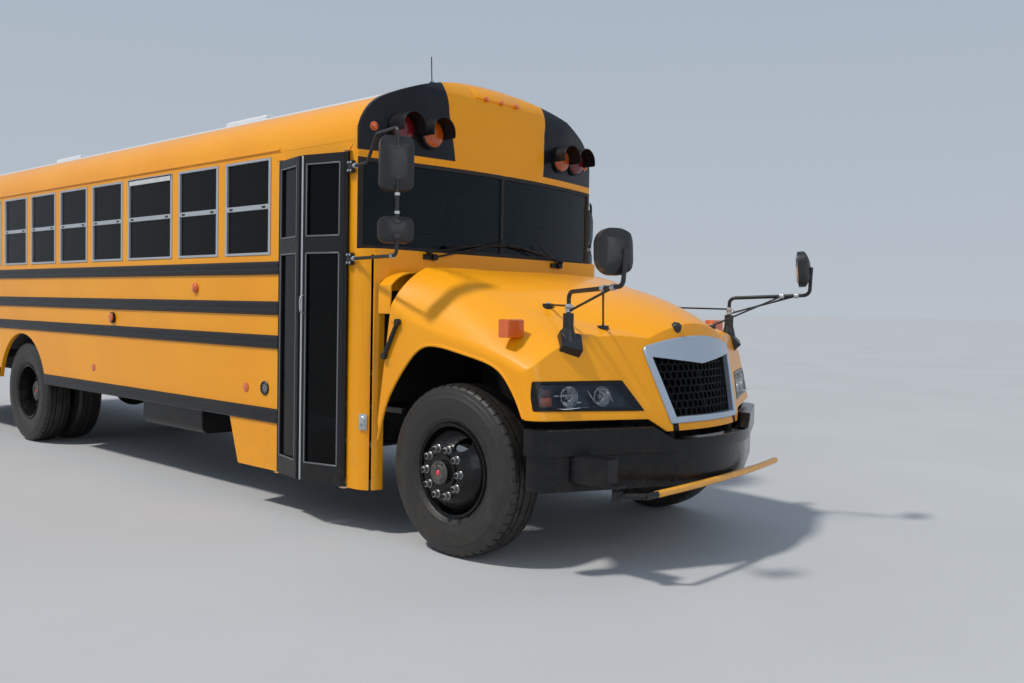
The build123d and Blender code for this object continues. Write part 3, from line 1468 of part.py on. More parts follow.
def dashboard():
    """Dash under the windshield with the driver's binnacle."""
    front = cowl_front - wall - run_gap
    outline = face_of([(front, 1500), (front, 1830), (front - 200, 1830), (front - 330, 1640),
                       (front - 260, 1500)])
    dash = side_plate(outline, dash_right, half_width - wall - run_gap)
    support = block((front - 120, front), (-200, 200), (floor_top + seat_gap, 1501))
    return dash + support


def steering_wheel():
    """Wheel on its raked column."""
    centre = Vector(along(-1080), driver_y, 1600)
    tilt = Plane(origin=centre, z_dir=(-0.45, 0, 1))
    rim = tilt * Torus(225, 16)
    hub = tilt * Cylinder(60, 40)
    spokes = tilt * (Box(440, 26, 14) + Box(26, 440, 14))
    column = extrude(Plane(origin=centre, z_dir=(0.45, 0, -1)) * Circle(28), 560)
    return rim + hub + spokes + column - dashboard() - floor()


def wipers():
    """Two pivots on the cowl, each with its arm and blade."""
    pieces = []
    for pivot_y, tip_y, tip_z in ((-690.0, 30.0, 1985.0), (640.0, 400.0, 1975.0)):
        face = cowl_front + seat_gap
        foot = bar((face, pivot_y, 1835), (face + 34, pivot_y, 1835), 22)
        foot += block((face, face + 16), (pivot_y - 90, pivot_y + 30), (1818, 1852))
        start = (face + 26, pivot_y, 1835)
        end = (face + 14, tip_y, tip_z)
        arm = bar(start, end, 7)
        pieces.append(foot + arm)
    return pieces


def fuel_tank():
    """Tank outside the right rail."""
    outer = -half_width + wall + 40
    tank = block((-3900.0, -2900.0), (outer, -rail_y - rail_width / 2 - seat_gap), (430.0, 840.0))
    return fillet(tank.edges().filter_by(Axis.X), 70)


silencer_z = 640.0


def exhaust():
    """Silencer and tail pipe on the left, hung from the rail."""
    y = rail_y + rail_width / 2 + 150
    silencer = bar((-3200, y, silencer_z), (-4300, y, silencer_z), 125)
    pipe = bent_bar([(-4290, y, silencer_z), (-4750, y, silencer_z),
                     (-5050, half_width - 190, silencer_z - 70),
                     (-5100, half_width - 20, silencer_z - 80)], 50, 120)
    bracket = block((-3800, -3700), (rail_y + rail_width / 2 + seat_gap, y), (620, 660))
    return silencer + bracket + pipe


def hood_latches():
    """Rubber pull latches at the hood's rear corners."""
    latches = []
    for side in (-1, 1):
        y = side * (nose_half_width + 16)
        latch = bar((-441, y, 1414), (-580, y, 1170), 14)
        for x, z in ((-448, 1402), (-573, 1182)):
            latch += bar((x, side * (nose_half_width + seat_gap), z), (x, side * (nose_half_width + 30), z),
                         20)
        latches.append(latch)
    return latches


def fender_lamps():
    """Amber turn lamps that stand on the hood's shoulders."""
    lamps = []
    body = hood_loft(-seat_gap)
    for side in (-1, 1):
        lamp = block((395, 470), sorted((side * 1050, side * 1185)), (1335, 1440))
        lamp = fillet(lamp.edges().filter_by(Axis.Y), 12)
        lamps.append(lamp - body)
    return lamps


def antenna():
    """Thin rod on the roof's right front."""
    rod = bar((cap_seam - 60, -500, 3040), (cap_seam - 70, -500, 3262), 4)
    foot = bar((cap_seam - 60, -500, 3020), (cap_seam - 60, -500, 3085), 18)
    return rod + foot - front_plate(roof_section(-seat_gap), cap_seam - 200, cap_seam)


def save(name, pieces):
    """Write one node's solids to its file."""
    flat_list = []
    for piece in pieces if isinstance(pieces, (list, tuple)) else [pieces]:
        flat_list += list(piece.solids())
    shape = flat_list[0] if len(flat_list) == 1 else Compound(children=flat_list)
    export_step(shape, f"parts/{name}.step")


def main():
    """Make every node."""
    os.makedirs("parts", exist_ok=True)
    panes = door_glass()
    door_panes, wall_panes = rear_glass()
    nodes = {
        "frame_rails": frame_rails(), "engine_block": engine_block(), "front_axle": front_axle(),
        "rear_axle": rear_axle_housing(), "leaf_springs": leaf_springs(), "fuel_tank": fuel_tank(),
        "exhaust": exhaust(), "front_bumper": [front_bumper(), gate_bracket()], "rear_bumper": rear_bumper(),
        "floor": floor(), "entry_steps": entry_steps(), "cowl": cowl(),
        "side_wall_right": side_wall_right(), "side_wall_left": side_wall_left(),
        "roof_shell": roof_shell(), "front_cap": front_cap(), "rear_wall": rear_wall(),
        "windshield_frame": windshield_frame(), "windshield_glass": windshield_glass(),
        "window_frames": window_frames(), "window_glass": window_glass() + wall_panes,
        "rub_rails": rub_rails(), "warning_lamps": warning_lamps(), "marker_lamps": marker_lamps(),
        "bench_seats": bench_seats(), "bench_frames": bench_frames(), "driver_seat": driver_seat(),
        "dashboard": dashboard(), "steering_wheel": steering_wheel(), "wipers": wipers(),
        "rear_view_mirrors": [rear_mirror(*place) for place in mirror_places], "roof_antenna": antenna(),
        "stop_arm_bracket": stop_arm_bracket(),
        "hood": hood(), "grille_surround": grille_surround(), "grille_mesh": grille_mesh(),
        "headlamps": headlamps(), "fender_lamps": fender_lamps(),
        "crossview_mirrors": both_sides(crossview_mirror(-1)), "hood_latches": hood_latches(),
        "door_leaf_front": door_leaf(True), "door_leaf_rear": door_leaf(False),
        "door_glass_front": panes[0], "door_glass_rear": panes[1],
        "rear_door": rear_door(), "rear_door_glass": door_panes,
        "stop_arm": stop_arm(), "crossing_gate": crossing_gate(),
        "roof_hatch_front": roof_hatch(hatch_places[0]), "roof_hatch_rear": roof_hatch(hatch_places[1]),
    }
    for side, word in ((1, "left"), (-1, "right")):
        nodes[f"knuckle_{word}"] = knuckle(side)
        nodes[f"front_tyre_{word}"] = tyre_at(side, track_face, 0.0)
        nodes[f"front_wheel_{word}"] = front_wheel(side)
        nodes[f"rear_wheels_{word}"] = rear_wheels(side)
    for side, word in ((1, "left"), (-1, "right")):
        outer = tyre_at(side, track_face, rear_axle)
        inner = tyre_at(side, track_face - tyre_width - dual_gap, rear_axle)
        nodes[f"rear_tyres_{word}"] = [outer, inner]
    for name, pieces in nodes.items():
        save(name, pieces)


if __name__ == "__main__":
    main()
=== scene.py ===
"""Finishes, trim, light and camera for the school bus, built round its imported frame.

Everything is in metres: X points forward, Y to the bus's left and Z up. Places along the
bus are given from the front axle, as in the frame's own source, and turned by along().
"""
import math
from contextlib import contextmanager

import bpy
from mathutils import Matrix, Vector
from mathutils.geometry import intersect_ray_tri


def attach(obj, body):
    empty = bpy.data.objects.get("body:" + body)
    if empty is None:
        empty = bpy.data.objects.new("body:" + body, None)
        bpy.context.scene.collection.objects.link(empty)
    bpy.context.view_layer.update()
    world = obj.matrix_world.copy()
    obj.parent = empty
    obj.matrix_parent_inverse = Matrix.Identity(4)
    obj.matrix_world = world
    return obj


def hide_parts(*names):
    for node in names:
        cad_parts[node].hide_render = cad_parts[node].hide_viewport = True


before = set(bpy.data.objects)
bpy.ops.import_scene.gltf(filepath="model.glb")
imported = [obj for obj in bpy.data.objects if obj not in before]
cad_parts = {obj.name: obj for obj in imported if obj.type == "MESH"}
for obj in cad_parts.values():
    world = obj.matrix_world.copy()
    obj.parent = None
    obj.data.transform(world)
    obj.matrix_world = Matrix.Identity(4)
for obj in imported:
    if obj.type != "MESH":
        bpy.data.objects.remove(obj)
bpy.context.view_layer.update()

# Sizes shared with the frame
axle_x = 4.460
half_width = 1.219
rear_axle = -6.400
body_rear = -10.050
tyre_radius = 0.522
tyre_width = 0.279
track_face = 1.181
dual_gap = 0.045
cowl_front = -0.690
front_radius = 4.970
nose_tip = 1.060
nose_foot_z = 0.950
nose_radius = 1.393
nose_lean = 0.25
under_hood_z = 1.60
sides = ((-1, "right"), (1, "left"))

# The photograph's width and the camera fitted to it
image_width = 1024
focal_pixels = 945.4
sensor_width = 36.0
camera_place = (axle_x + 4.047, -5.088, 1.513)
camera_yaw = math.radians(132.25)
camera_pitch = math.radians(-2.13)
camera_roll = math.radians(1.09)


def along(x):
    """X in the frame of a place measured from the front axle."""
    return axle_x + x


def placed(point):
    """A point in the frame whose X is given from the front axle."""
    return Vector((along(point[0]), point[1], point[2]))


def standing(point, direction):
    """Matrix that stands a piece's Z along a direction, from a point."""
    turn = Vector(direction).to_track_quat("Z", "Y")
    return Matrix.Translation(placed(point)) @ turn.to_matrix().to_4x4()


# Selection and modelling helpers

def only(piece):
    """Make one piece the only selected and the active one."""
    bpy.ops.object.select_all(action="DESELECT")
    piece.select_set(True)
    bpy.context.view_layer.objects.active = piece


@contextmanager
def editing(piece, kind="FACE", test=None):
    """Edit mode on one piece, with all of it selected, or what passes the test."""
    only(piece)
    bpy.ops.object.mode_set(mode="EDIT")
    bpy.ops.mesh.select_mode(type=kind)
    bpy.ops.mesh.select_all(action="SELECT" if test is None else "DESELECT")
    if test is not None:
        bpy.ops.object.mode_set(mode="OBJECT")
        mesh = piece.data
        parts = {"FACE": mesh.polygons, "EDGE": mesh.edges, "VERT": mesh.vertices}[kind]
        for part in parts:
            part.select = test(part)
        bpy.ops.object.mode_set(mode="EDIT")
    yield
    bpy.ops.object.mode_set(mode="OBJECT")


def modify(piece, kind, **settings):
    """Add a modifier with these settings and apply it."""
    only(piece)
    modifier = piece.modifiers.new(kind.lower(), kind)
    for name, value in settings.items():
        setattr(modifier, name, value)
    bpy.ops.object.modifier_apply(modifier=modifier.name)
    return piece


def round_edges(piece, width, segments=2, angle=30):
    """Bevel every edge sharper than the angle."""
    return modify(piece, "BEVEL", width=width, segments=segments, limit_method="ANGLE",
                  angle_limit=math.radians(angle), use_clamp_overlap=False)


def settle(piece, angle=35):
    """Put a piece's place into its mesh and smooth all but its sharp edges."""
    only(piece)
    bpy.ops.object.transform_apply(location=True, rotation=True, scale=True)
    bpy.ops.object.shade_smooth_by_angle(angle=math.radians(angle))
    return piece


def smooth(piece, angle=35):
    """Smooth a piece so that its large flat faces stay flat beside their rounded edges."""
    only(piece)
    bpy.ops.object.shade_smooth_by_angle(angle=math.radians(angle))
    modify(piece, "WEIGHTED_NORMAL", keep_sharp=True)
    return piece


def named(piece, name):
    """Give a piece and its mesh one name."""
    piece.name = name
    piece.data.name = name
    return piece


def copy_of(piece, name):
    """A copy of a piece with its own mesh."""
    twin = piece.copy()
    twin.data = piece.data.copy()
    bpy.context.scene.collection.objects.link(twin)
    return named(twin, name)


def joined(pieces, name):
    """Several pieces as one."""
    bpy.ops.object.select_all(action="DESELECT")
    for piece in pieces:
        piece.select_set(True)
    bpy.context.view_layer.objects.active = pieces[0]
    if len(pieces) > 1:
        bpy.ops.object.join()
    return named(pieces[0], name)


def outwards(piece):
    """Merge doubled points and point every face outwards."""
    with editing(piece):
        bpy.ops.mesh.remove_doubles(threshold=1e-5)
        bpy.ops.mesh.normals_make_consistent(inside=False)
    return piece


def mirrored(piece):
    """A piece with its mirror image across the bus."""
    return modify(piece, "MIRROR", use_axis=(False, True, False), use_mirror_merge=False)


def both_sides(piece):
    """A piece settled, with its mirror image, as one."""
    return mirrored(settle(piece))


def row(piece, count, step):
    """A piece repeated in equal steps, as one."""
    return modify(piece, "ARRAY", count=count, use_relative_offset=False, use_constant_offset=True,
                  constant_offset_displace=step)


def box(low, high, width=0.0, segments=2):
    """Block between two corners, with its X from the front axle and its edges rounded."""
    sizes = [b - a for a, b in zip(low, high)]
    centre = [(a + b) / 2 for a, b in zip(low, high)]
    centre[0] = along(centre[0])
    bpy.ops.mesh.primitive_cube_add(size=1, location=centre)
    piece = bpy.context.object
    piece.scale = sizes
    settle(piece)
    if width:
        round_edges(piece, width, segments)
    return piece


def turned(profile, start, direction, steps=32):
    """Solid of revolution: (radius, distance along the axis) pairs, spun about the axis."""
    bpy.ops.mesh.primitive_circle_add(vertices=len(profile), fill_type="NOTHING")
    piece = bpy.context.object
    for vertex, (radius, distance) in zip(piece.data.vertices, profile):
        vertex.co = (radius, 0, distance)
    with editing(piece, "EDGE"):
        bpy.ops.mesh.spin(steps=steps, angle=2 * math.pi, center=(0, 0, 0), axis=(0, 0, 1))
        bpy.ops.mesh.select_all(action="SELECT")
        bpy.ops.mesh.remove_doubles(threshold=1e-6)
        bpy.ops.mesh.dissolve_degenerate(threshold=1e-6)
        bpy.ops.mesh.normals_make_consistent(inside=False)
    piece.matrix_world = standing(start, direction)
    return settle(piece)


def rod(start, end, radius, steps=16):
    """Round bar between two points."""
    way = placed(end) - placed(start)
    length = way.length
    rounding = min(radius * 0.25, 0.002)
    profile = [(0, 0), (radius - rounding, 0), (radius, rounding),
               (radius, length - rounding), (radius - rounding, length), (0, length)]
    return turned(profile, start, way, steps)


def hexagon(centre, direction, radius, height):
    """Hexagon nut with rounded edges, its base at centre."""
    bpy.ops.mesh.primitive_cylinder_add(vertices=6, radius=radius, depth=height)
    piece = bpy.context.object
    with editing(piece):
        bpy.ops.transform.translate(value=(0, 0, height / 2))
    piece.matrix_world = standing(centre, direction)
    settle(piece)
    return round_edges(piece, radius * 0.12)


def refined(node, width=0.003, segments=2, angle=30, name=None):
    """Copy of a frame node with merged points and rounded edges, which stands for the node."""
    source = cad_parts[node]
    piece = bpy.data.objects.new(name or node + "_shell", source.data.copy())
    bpy.context.scene.collection.objects.link(piece)
    only(piece)
    bpy.ops.mesh.customdata_custom_splitnormals_clear()
    with editing(piece):
        bpy.ops.mesh.remove_doubles(threshold=2e-5)
        bpy.ops.mesh.dissolve_limited(angle_limit=math.radians(0.2))
    if width:
        round_edges(piece, width, segments, angle)
    smooth(piece)
    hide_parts(node)
    return piece


# Finishes

class Value:
    """A socket's value that can be used in sums."""

    def __init__(self, finish, socket):
        self.finish = finish
        self.socket = socket

    def sum_of(self, operation, left, right):
        return self.finish.node("ShaderNodeMath", {"operation": operation}, {0: left, 1: right})

    def __add__(self, other):
        return self.sum_of("ADD", self, other)

    def __radd__(self, other):
        return self.sum_of("ADD", other, self)

    def __sub__(self, other):
        return self.sum_of("SUBTRACT", self, other)

    def __rsub__(self, other):
        return self.sum_of("SUBTRACT", other, self)

    def __mul__(self, other):
        return self.sum_of("MULTIPLY", self, other)

    def __rmul__(self, other):
        return self.sum_of("MULTIPLY", other, self)

    def __gt__(self, other):
        return self.sum_of("GREATER_THAN", self, other)

    def __lt__(self, other):
        return self.sum_of("LESS_THAN", self, other)

    def __abs__(self):
        return self.sum_of("ABSOLUTE", self, 0.0)


class Finish:
    """One material, with its Principled shader and the nodes that feed it."""

    def __init__(self, name, **sockets):
        self.material = bpy.data.materials.new(name)
        self.material.use_nodes = True
        self.tree = self.material.node_tree
        self.shader = self.tree.nodes["Principled BSDF"]
        self.place = self.node("ShaderNodeTexCoord", output="Object")
        self.feed(**sockets)

    def node(self, kind, settings=None, values=None, output=0):
        """Add a node: its settings first, then the values or links of its sockets."""
        made = self.tree.nodes.new(kind)
        for name, value in (settings or {}).items():
            setattr(made, name, value)
        for key, value in (values or {}).items():
            if isinstance(value, Value):
                self.tree.links.new(value.socket, made.inputs[key])
            else:
                made.inputs[key].default_value = value
        return Value(self, made.outputs[output])

    def feed(self, **sockets):
        """Set or link the shader's sockets, whose names are given in lower case."""
        for key, value in sockets.items():
            socket = self.shader.inputs[key.replace("_", " ").title().replace("Ior", "IOR")]
            if isinstance(value, Value):
                self.tree.links.new(value.socket, socket)
            elif isinstance(value, tuple):
                socket.default_value = (*value, 1.0)
            else:
                socket.default_value = value
        return self

    def axes(self):
        """X, Y and Z of the place."""
        split = self.tree.nodes.new("ShaderNodeSeparateXYZ")
        self.tree.links.new(self.place.socket, split.inputs[0])
        return [Value(self, split.outputs[index]) for index in range(3)]

    def mix(self, factor, first, second):
        """Colour between two colours."""
        colours = {0: factor}
        for key, colour in ((6, first), (7, second)):
            colours[key] = (*colour, 1.0) if isinstance(colour, tuple) else colour
        return self.node("ShaderNodeMix", {"data_type": "RGBA"}, colours, output=2)

    def ramp(self, value, low, high):
        """0 at low and 1 at high, smoothly, whichever is larger."""
        return self.node("ShaderNodeMapRange", {"interpolation_type": "SMOOTHSTEP"},
                         {0: value, 1: low, 2: high})

    def noise(self, scale, detail=3.0, roughness=0.55):
        return self.node("ShaderNodeTexNoise", None,
                         {"Vector": self.place, "Scale": scale, "Detail": detail,
                          "Roughness": roughness}, output="Fac")

    def bump(self, height, distance, strength=1.0, under=None):
        values = {"Height": height, "Distance": distance, "Strength": strength}
        if under:
            values["Normal"] = under
        return self.node("ShaderNodeBump", None, values, output="Normal")


road_dust = (0.20, 0.16, 0.11)
yellow = (0.88, 0.350, 0.004)
deep_yellow = (0.84, 0.320, 0.003)
white = (0.72, 0.73, 0.73)


def paint(name, colour, deep, roughness=0.36, coat=0.30, masks=None):
    """Body paint: a slight drift of tone, panels that aren't dead flat, and dust low down."""
    finish = Finish(name, coat_weight=coat, coat_roughness=0.05, specular_ior_level=0.22)
    axes = finish.axes()
    tone = finish.mix(finish.ramp(finish.noise(0.8, 2.0), 0.35, 0.65), colour, deep)
    if masks:
        tone = masks(finish, tone, axes)
    low = finish.ramp(axes[2], 1.0, 0.35)
    dust = low * finish.ramp(finish.noise(9.0, 6.0, 0.65), 0.42, 0.75) * 0.14
    finish.feed(base_color=finish.mix(dust, tone, road_dust),
                roughness=dust * 0.5 + finish.ramp(finish.noise(24.0, 4.0), 0.3, 0.9) * 0.08 + roughness)
    waves = finish.bump(finish.noise(2.6, 1.0), 0.004, 0.35)
    peel = finish.bump(finish.noise(420.0, 1.0), 0.00012, 0.5, waves)
    return finish.feed(normal=peel).material


def roof_bands(finish, tone, axes):
    """White crown over the yellow sides of the roof."""
    crown_foot = 2.905
    return finish.mix(finish.ramp(axes[2], crown_foot, crown_foot + 0.004), tone, white)


def cap_panels(finish, tone, axes):
    """Black cap with the plain yellow sign panel between its sides and a yellow edge behind."""
    x, y, z = axes
    panel_foot = 2.517
    panel_half = 0.470
    panel_spread = 0.115
    panel = abs(y) < panel_half + (z - panel_foot) * panel_spread
    rear_edge = x < along(-0.852)
    brow = z < 2.512
    black = finish.mix(panel, (0.006, 0.007, 0.010), tone)
    return finish.mix(brow, finish.mix(rear_edge, black, tone), tone)


def plain(name, colour, roughness, metallic=0.0, grain=300.0, depth=0.0002, dust=0.0, coat=0.0,
          drift=0.15, **sockets):
    """Any plain finish: fine grain, a drift of tone and roughness, and dust if it is low down."""
    finish = Finish(name, metallic=metallic, coat_weight=coat, coat_roughness=0.08, **sockets)
    height = finish.axes()[2]
    dark = tuple(part * (1 - drift) for part in colour)
    tone = finish.mix(finish.ramp(finish.noise(14.0, 4.0), 0.3, 0.7), colour, dark)
    rough = finish.ramp(finish.noise(30.0, 5.0), 0.3, 0.8) * 0.12 + (roughness - 0.06)
    if dust:
        film = finish.ramp(finish.noise(11.0, 6.0, 0.7), 0.40, 0.78) * finish.ramp(height, 1.1, 0.2) * dust
        tone = finish.mix(film, tone, road_dust)
        rough = rough + film * 0.4
    finish.feed(base_color=tone, roughness=rough)
    return finish.feed(normal=finish.bump(finish.noise(grain, 2.0), depth)).material


finishes = {
    "yellow": paint("yellow_paint", yellow, deep_yellow),
    "lining": plain("inner_lining", (0.30, 0.31, 0.30), 0.55, grain=200.0, depth=0.0004),
    "roof": paint("roof_paint", yellow, deep_yellow, masks=roof_bands),
    "cap": paint("cap_paint", yellow, deep_yellow, roughness=0.28, coat=0.16, masks=cap_panels),
    "white": paint("white_paint", white, (0.68, 0.69, 0.69)),
    "black_gloss": plain("black_gloss", (0.006, 0.006, 0.007), 0.26, coat=0.12, dust=0.10, depth=0.0001,
                         drift=0.05, specular_ior_level=0.22),
    "black_satin": plain("black_satin", (0.010, 0.010, 0.011), 0.38, dust=0.10, drift=0.05,
                         specular_ior_level=0.30),
    "chassis": plain("chassis_black", (0.012, 0.011, 0.011), 0.66, dust=0.3, grain=120.0, depth=0.0006,
                     specular_ior_level=0.2),
    "iron": plain("grey_iron", (0.07, 0.07, 0.07), 0.55, metallic=0.6, dust=0.4, grain=90.0, depth=0.0008),
    "plastic": plain("black_plastic", (0.014, 0.014, 0.015), 0.40, grain=700.0, depth=0.0001, drift=0.05),
    "mesh_black": plain("grille_black", (0.010, 0.010, 0.011), 0.44, specular_ior_level=0.22, drift=0.05),
    # Dead black of the radiator's front, also used for the black sheets that paint the shade inside the
    # engine bay.
    "radiator": plain("radiator_black_and_painted_shade", (0.004, 0.004, 0.004), 0.85, specular_ior_level=0.05),
    "rubber": plain("black_rubber", (0.012, 0.012, 0.012), 0.7, grain=500.0, depth=0.0003),
    "silver": plain("silver", (0.52, 0.54, 0.56), 0.36, metallic=0.6, grain=600.0, depth=0.00001, drift=0.03),
    "surround": plain("surround_silver", (0.42, 0.48, 0.57), 0.34, metallic=0.45, grain=900.0,
                      depth=0.00001, coat=0.5, drift=0.02),
    "chrome": plain("chrome", (0.80, 0.80, 0.82), 0.08, metallic=1.0, grain=300.0, depth=0.00001, drift=0.02),
    "glass": plain("tinted_glass", (0.003, 0.003, 0.003), 0.08, grain=2.0, depth=0.00002, alpha=0.88,
                   specular_ior_level=0.12),
    "windshield": plain("windshield_glass", (0.002, 0.008, 0.014), 0.07, grain=2.0, depth=0.00002,
                        alpha=0.64, specular_ior_level=0.28),
    "tyre": plain("tyre_rubber", (0.020, 0.018, 0.016), 0.50, dust=0.14, grain=420.0, depth=0.0003,
                  drift=0.10),
    "clear_lamp": plain("clear_lens", (0.010, 0.016, 0.028), 0.06, grain=5.0, depth=0.00002, alpha=0.28,
                        specular_ior_level=0.6),
    "red_lamp": plain("red_lens", (0.20, 0.006, 0.008), 0.16, grain=160.0, depth=0.0012, coat=1.0),
    "amber_lamp": plain("amber_lens", (0.70, 0.115, 0.005), 0.16, grain=160.0, depth=0.0012, coat=1.0),
    # The flashing lamps' lenses are darker than the other lamp lenses: painted shade of their visors.
    "warning_red": plain("warning_red", (0.13, 0.004, 0.007), 0.18, grain=160.0, depth=0.0012, coat=0.5),
    "warning_amber": plain("warning_amber", (0.42, 0.075, 0.004), 0.18, grain=160.0, depth=0.0012, coat=0.5),
    "smoked_amber": plain("smoked_amber", (0.16, 0.035, 0.010), 0.12, grain=160.0, depth=0.0012, coat=1.0),
    "red": plain("red_paint", (0.50, 0.012, 0.012), 0.35, coat=0.5),
    "gate": plain("gate_yellow", (0.84, 0.36, 0.010), 0.34, coat=0.4, dust=0.1),
    "floor": plain("floor_rubber", (0.03, 0.03, 0.032), 0.65, grain=260.0, depth=0.0006),
    "vinyl": plain("seat_vinyl", (0.030, 0.042, 0.050), 0.46, grain=520.0, depth=0.0007),
    "white_trim": plain("white_trim", (0.62, 0.63, 0.62), 0.35),
    "grey_trim": plain("grey_trim", (0.16, 0.17, 0.18), 0.40, metallic=0.4, drift=0.03),
    "nut": plain("wheel_nuts", (0.30, 0.30, 0.30), 0.36, metallic=0.7, dust=0.2, grain=200.0, depth=0.0002),
    "grease": plain("dusty_hub", (0.13, 0.125, 0.11), 0.55, metallic=0.3, grain=60.0, depth=0.0008,
                    drift=0.7),
    "plug": plain("hub_plug", (0.75, 0.02, 0.06), 0.30, coat=0.6),
    "lamp_well": plain("lamp_well", (0.085, 0.105, 0.140), 0.24, metallic=0.6, grain=80.0, depth=0.0002),
    "pale_lens": plain("pale_lens", (0.62, 0.68, 0.75), 0.05, grain=10.0, depth=0.0001, alpha=0.7, coat=1.0),
}


def dress(piece, finish, body="bus"):
    """Give a piece its finish, body and material slot."""
    piece.data.materials.clear()
    piece.data.materials.append(finishes[finish])
    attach(piece, body)
    return piece


def repaint(piece, finish, chosen):
    """Give the chosen faces of a dressed piece another finish."""
    piece.data.materials.append(finishes[finish])
    with editing(piece, "FACE", chosen):
        piece.active_material_index = len(piece.data.materials) - 1
        bpy.ops.object.material_slot_assign()
    return piece


# Frame nodes whose shape is right: node, body, finish, slot, edge rounding
shells = (
    ("cowl", "bus", "yellow", "yellow", 0.004),
    ("side_wall_right", "bus", "yellow", "yellow", 0.003),
    ("side_wall_left", "bus", "yellow", "yellow", 0.003),
    ("roof_shell", "bus", "roof", "white_roof", 0.002),
    ("front_cap", "bus", "cap", "yellow", 0.003),
    ("rear_wall", "bus", "yellow", "yellow", 0.004),
    ("frame_rails", "bus", "chassis", "black_steel", 0.003),
    ("front_axle", "bus", "chassis", "grey_iron", 0.003),
    ("rear_axle", "bus", "chassis", "grey_iron", 0.003),
    ("leaf_springs", "bus", "iron", "grey_iron", 0.002),
    ("front_bumper", "bus", "black_gloss", "black_steel", 0.008),
    ("rear_bumper", "bus", "black_gloss", "black_steel", 0.006),
    ("rub_rails", "bus", "black_satin", "black_steel", 0.004),
    ("rear_view_mirrors", "bus", "plastic", "black_plastic", 0.003),
    ("stop_arm_bracket", "bus", "black_satin", "black_steel", 0.003),
    ("roof_antenna", "bus", "plastic", "black_plastic", 0.001),
    ("wipers", "bus", "black_satin", "black_plastic", 0.001),
    ("fuel_tank", "bus", "black_satin", "black_steel", 0.012),
    ("bench_frames", "bus", "black_satin", "black_steel", 0.003),
    ("engine_block", "bus", "chassis", "grey_iron", 0.010),
    ("exhaust", "bus", "iron", "grey_iron", 0.004),
    ("windshield_frame", "bus", "rubber", "black_plastic", 0.003),
    ("dashboard", "bus", "plastic", "black_plastic", 0.012),
    ("steering_wheel", "bus", "plastic", "black_plastic", 0.002),
    ("window_frames", "bus", "silver", "silver", 0.002),
    ("windshield_glass", "bus", "windshield", "glass", 0.0),
    ("window_glass", "bus", "glass", "glass", 0.0),
    ("warning_lamps", "bus", "black_satin", "black_plastic", 0.002),
    ("marker_lamps", "bus", "black_satin", "amber_lamp", 0.003),
    ("floor", "bus", "floor", "floor_rubber", 0.003),
    ("entry_steps", "bus", "floor", "floor_rubber", 0.004),
    ("hood", "hood_unit", "yellow", "yellow", 0.006),
    ("grille_surround", "hood_unit", "surround", "silver", 0.0),
    ("fender_lamps", "hood_unit", "amber_lamp", "amber_lamp", 0.004),
    ("crossview_mirrors", "hood_unit", "plastic", "black_plastic", 0.002),
    ("hood_latches", "hood_unit", "rubber", "black_plastic", 0.002),
    ("knuckle_left", "steer_left", "chassis", "grey_iron", 0.003),
    ("knuckle_right", "steer_right", "chassis", "grey_iron", 0.003),
    ("front_wheel_left", "wheel_front_left", "black_gloss", "black_steel", 0.002),
    ("front_wheel_right", "wheel_front_right", "black_gloss", "black_steel", 0.002),
    ("rear_wheels_left", "wheel_rear_left", "black_gloss", "black_steel", 0.002),
    ("rear_wheels_right", "wheel_rear_right", "black_gloss", "black_steel", 0.002),
    ("door_leaf_front", "entry_leaf_front", "black_satin", "black_steel", 0.003),
    ("door_leaf_rear", "entry_leaf_rear", "black_satin", "black_steel", 0.003),
    ("door_glass_front", "entry_leaf_front", "glass", "glass", 0.0),
    ("door_glass_rear", "entry_leaf_rear", "glass", "glass", 0.0),
    ("rear_door", "emergency_door", "yellow", "yellow", 0.004),
    ("rear_door_glass", "emergency_door", "glass", "glass", 0.0),
    ("stop_arm", "stop_sign_arm", "red", "red_paint", 0.003),
    ("crossing_gate", "gate_arm", "gate", "gate_yellow", 0.002),
    ("roof_hatch_front", "hatch_front", "white", "white_roof", 0.010),
    ("roof_hatch_rear", "hatch_rear", "white", "white_roof", 0.010),
)
lined_nodes = ("cowl", "side_wall_right", "side_wall_left", "roof_shell", "front_cap", "rear_wall",
               "rear_door")


def looks_towards(axis_z, x_low, x_high, share):
    """Test for faces that look at a lengthwise axis of the bus, between two places along it."""
    def looks(face):
        x = min(max(face.center.x, along(x_low)), along(x_high))
        inwards = Vector((x, 0, axis_z)) - face.center
        return face.normal.dot(inwards) > share * inwards.length
    return looks


def on_hood_arm(face):
    """Whether a face belongs to the hood's hinge arms."""
    beside = abs(abs(face.center.y) - 0.340) < 0.032
    return beside and face.center.z < 0.857 and face.center.x > along(0.90)


def behind_wheels(face):
    """Whether a face is the cowl's front or foot below the hood, in the front wheel arches."""
    if face.center.z > under_hood_z:
        return False
    if face.normal.x > 0.95 and abs(face.center.x - along(cowl_front)) < 0.004:
        return True
    inner = abs(face.center.y) < 1.150 and face.center.x > along(-0.760)
    return inner and face.normal.z < -0.3


def on_radiator(face):
    """Whether a face is the radiator's front."""
    return face.normal.x > 0.9 and face.center.x > along(0.75)


def dress_shell(node, body, finish, slot, width):
    """Round a frame node's edges and give it its finish, and its other finishes where it has them."""
    shell = dress(refined(node, width), finish, body)
    if node in lined_nodes:
        repaint(shell, "lining", looks_towards(axis_z=1.9, x_low=body_rear + 0.5, x_high=-1.3, share=0.3))
    if node == "cowl":
        with editing(shell):
            bpy.ops.mesh.bisect(plane_co=(0, 0, under_hood_z), plane_no=(0, 0, 1))
        repaint(shell, "chassis", behind_wheels)
    if node == "hood":
        repaint(shell, "chassis", looks_towards(axis_z=0.95, x_low=-0.6, x_high=0.55, share=0.35))
        repaint(shell, "chassis", on_hood_arm)
    if node == "engine_block":
        repaint(shell, "radiator", on_radiator)


for shell in shells:
    dress_shell(*shell)


# Tyres and wheels

tyre_steps = 192
tread_foot = 0.5085
shoulder_drop = 0.012
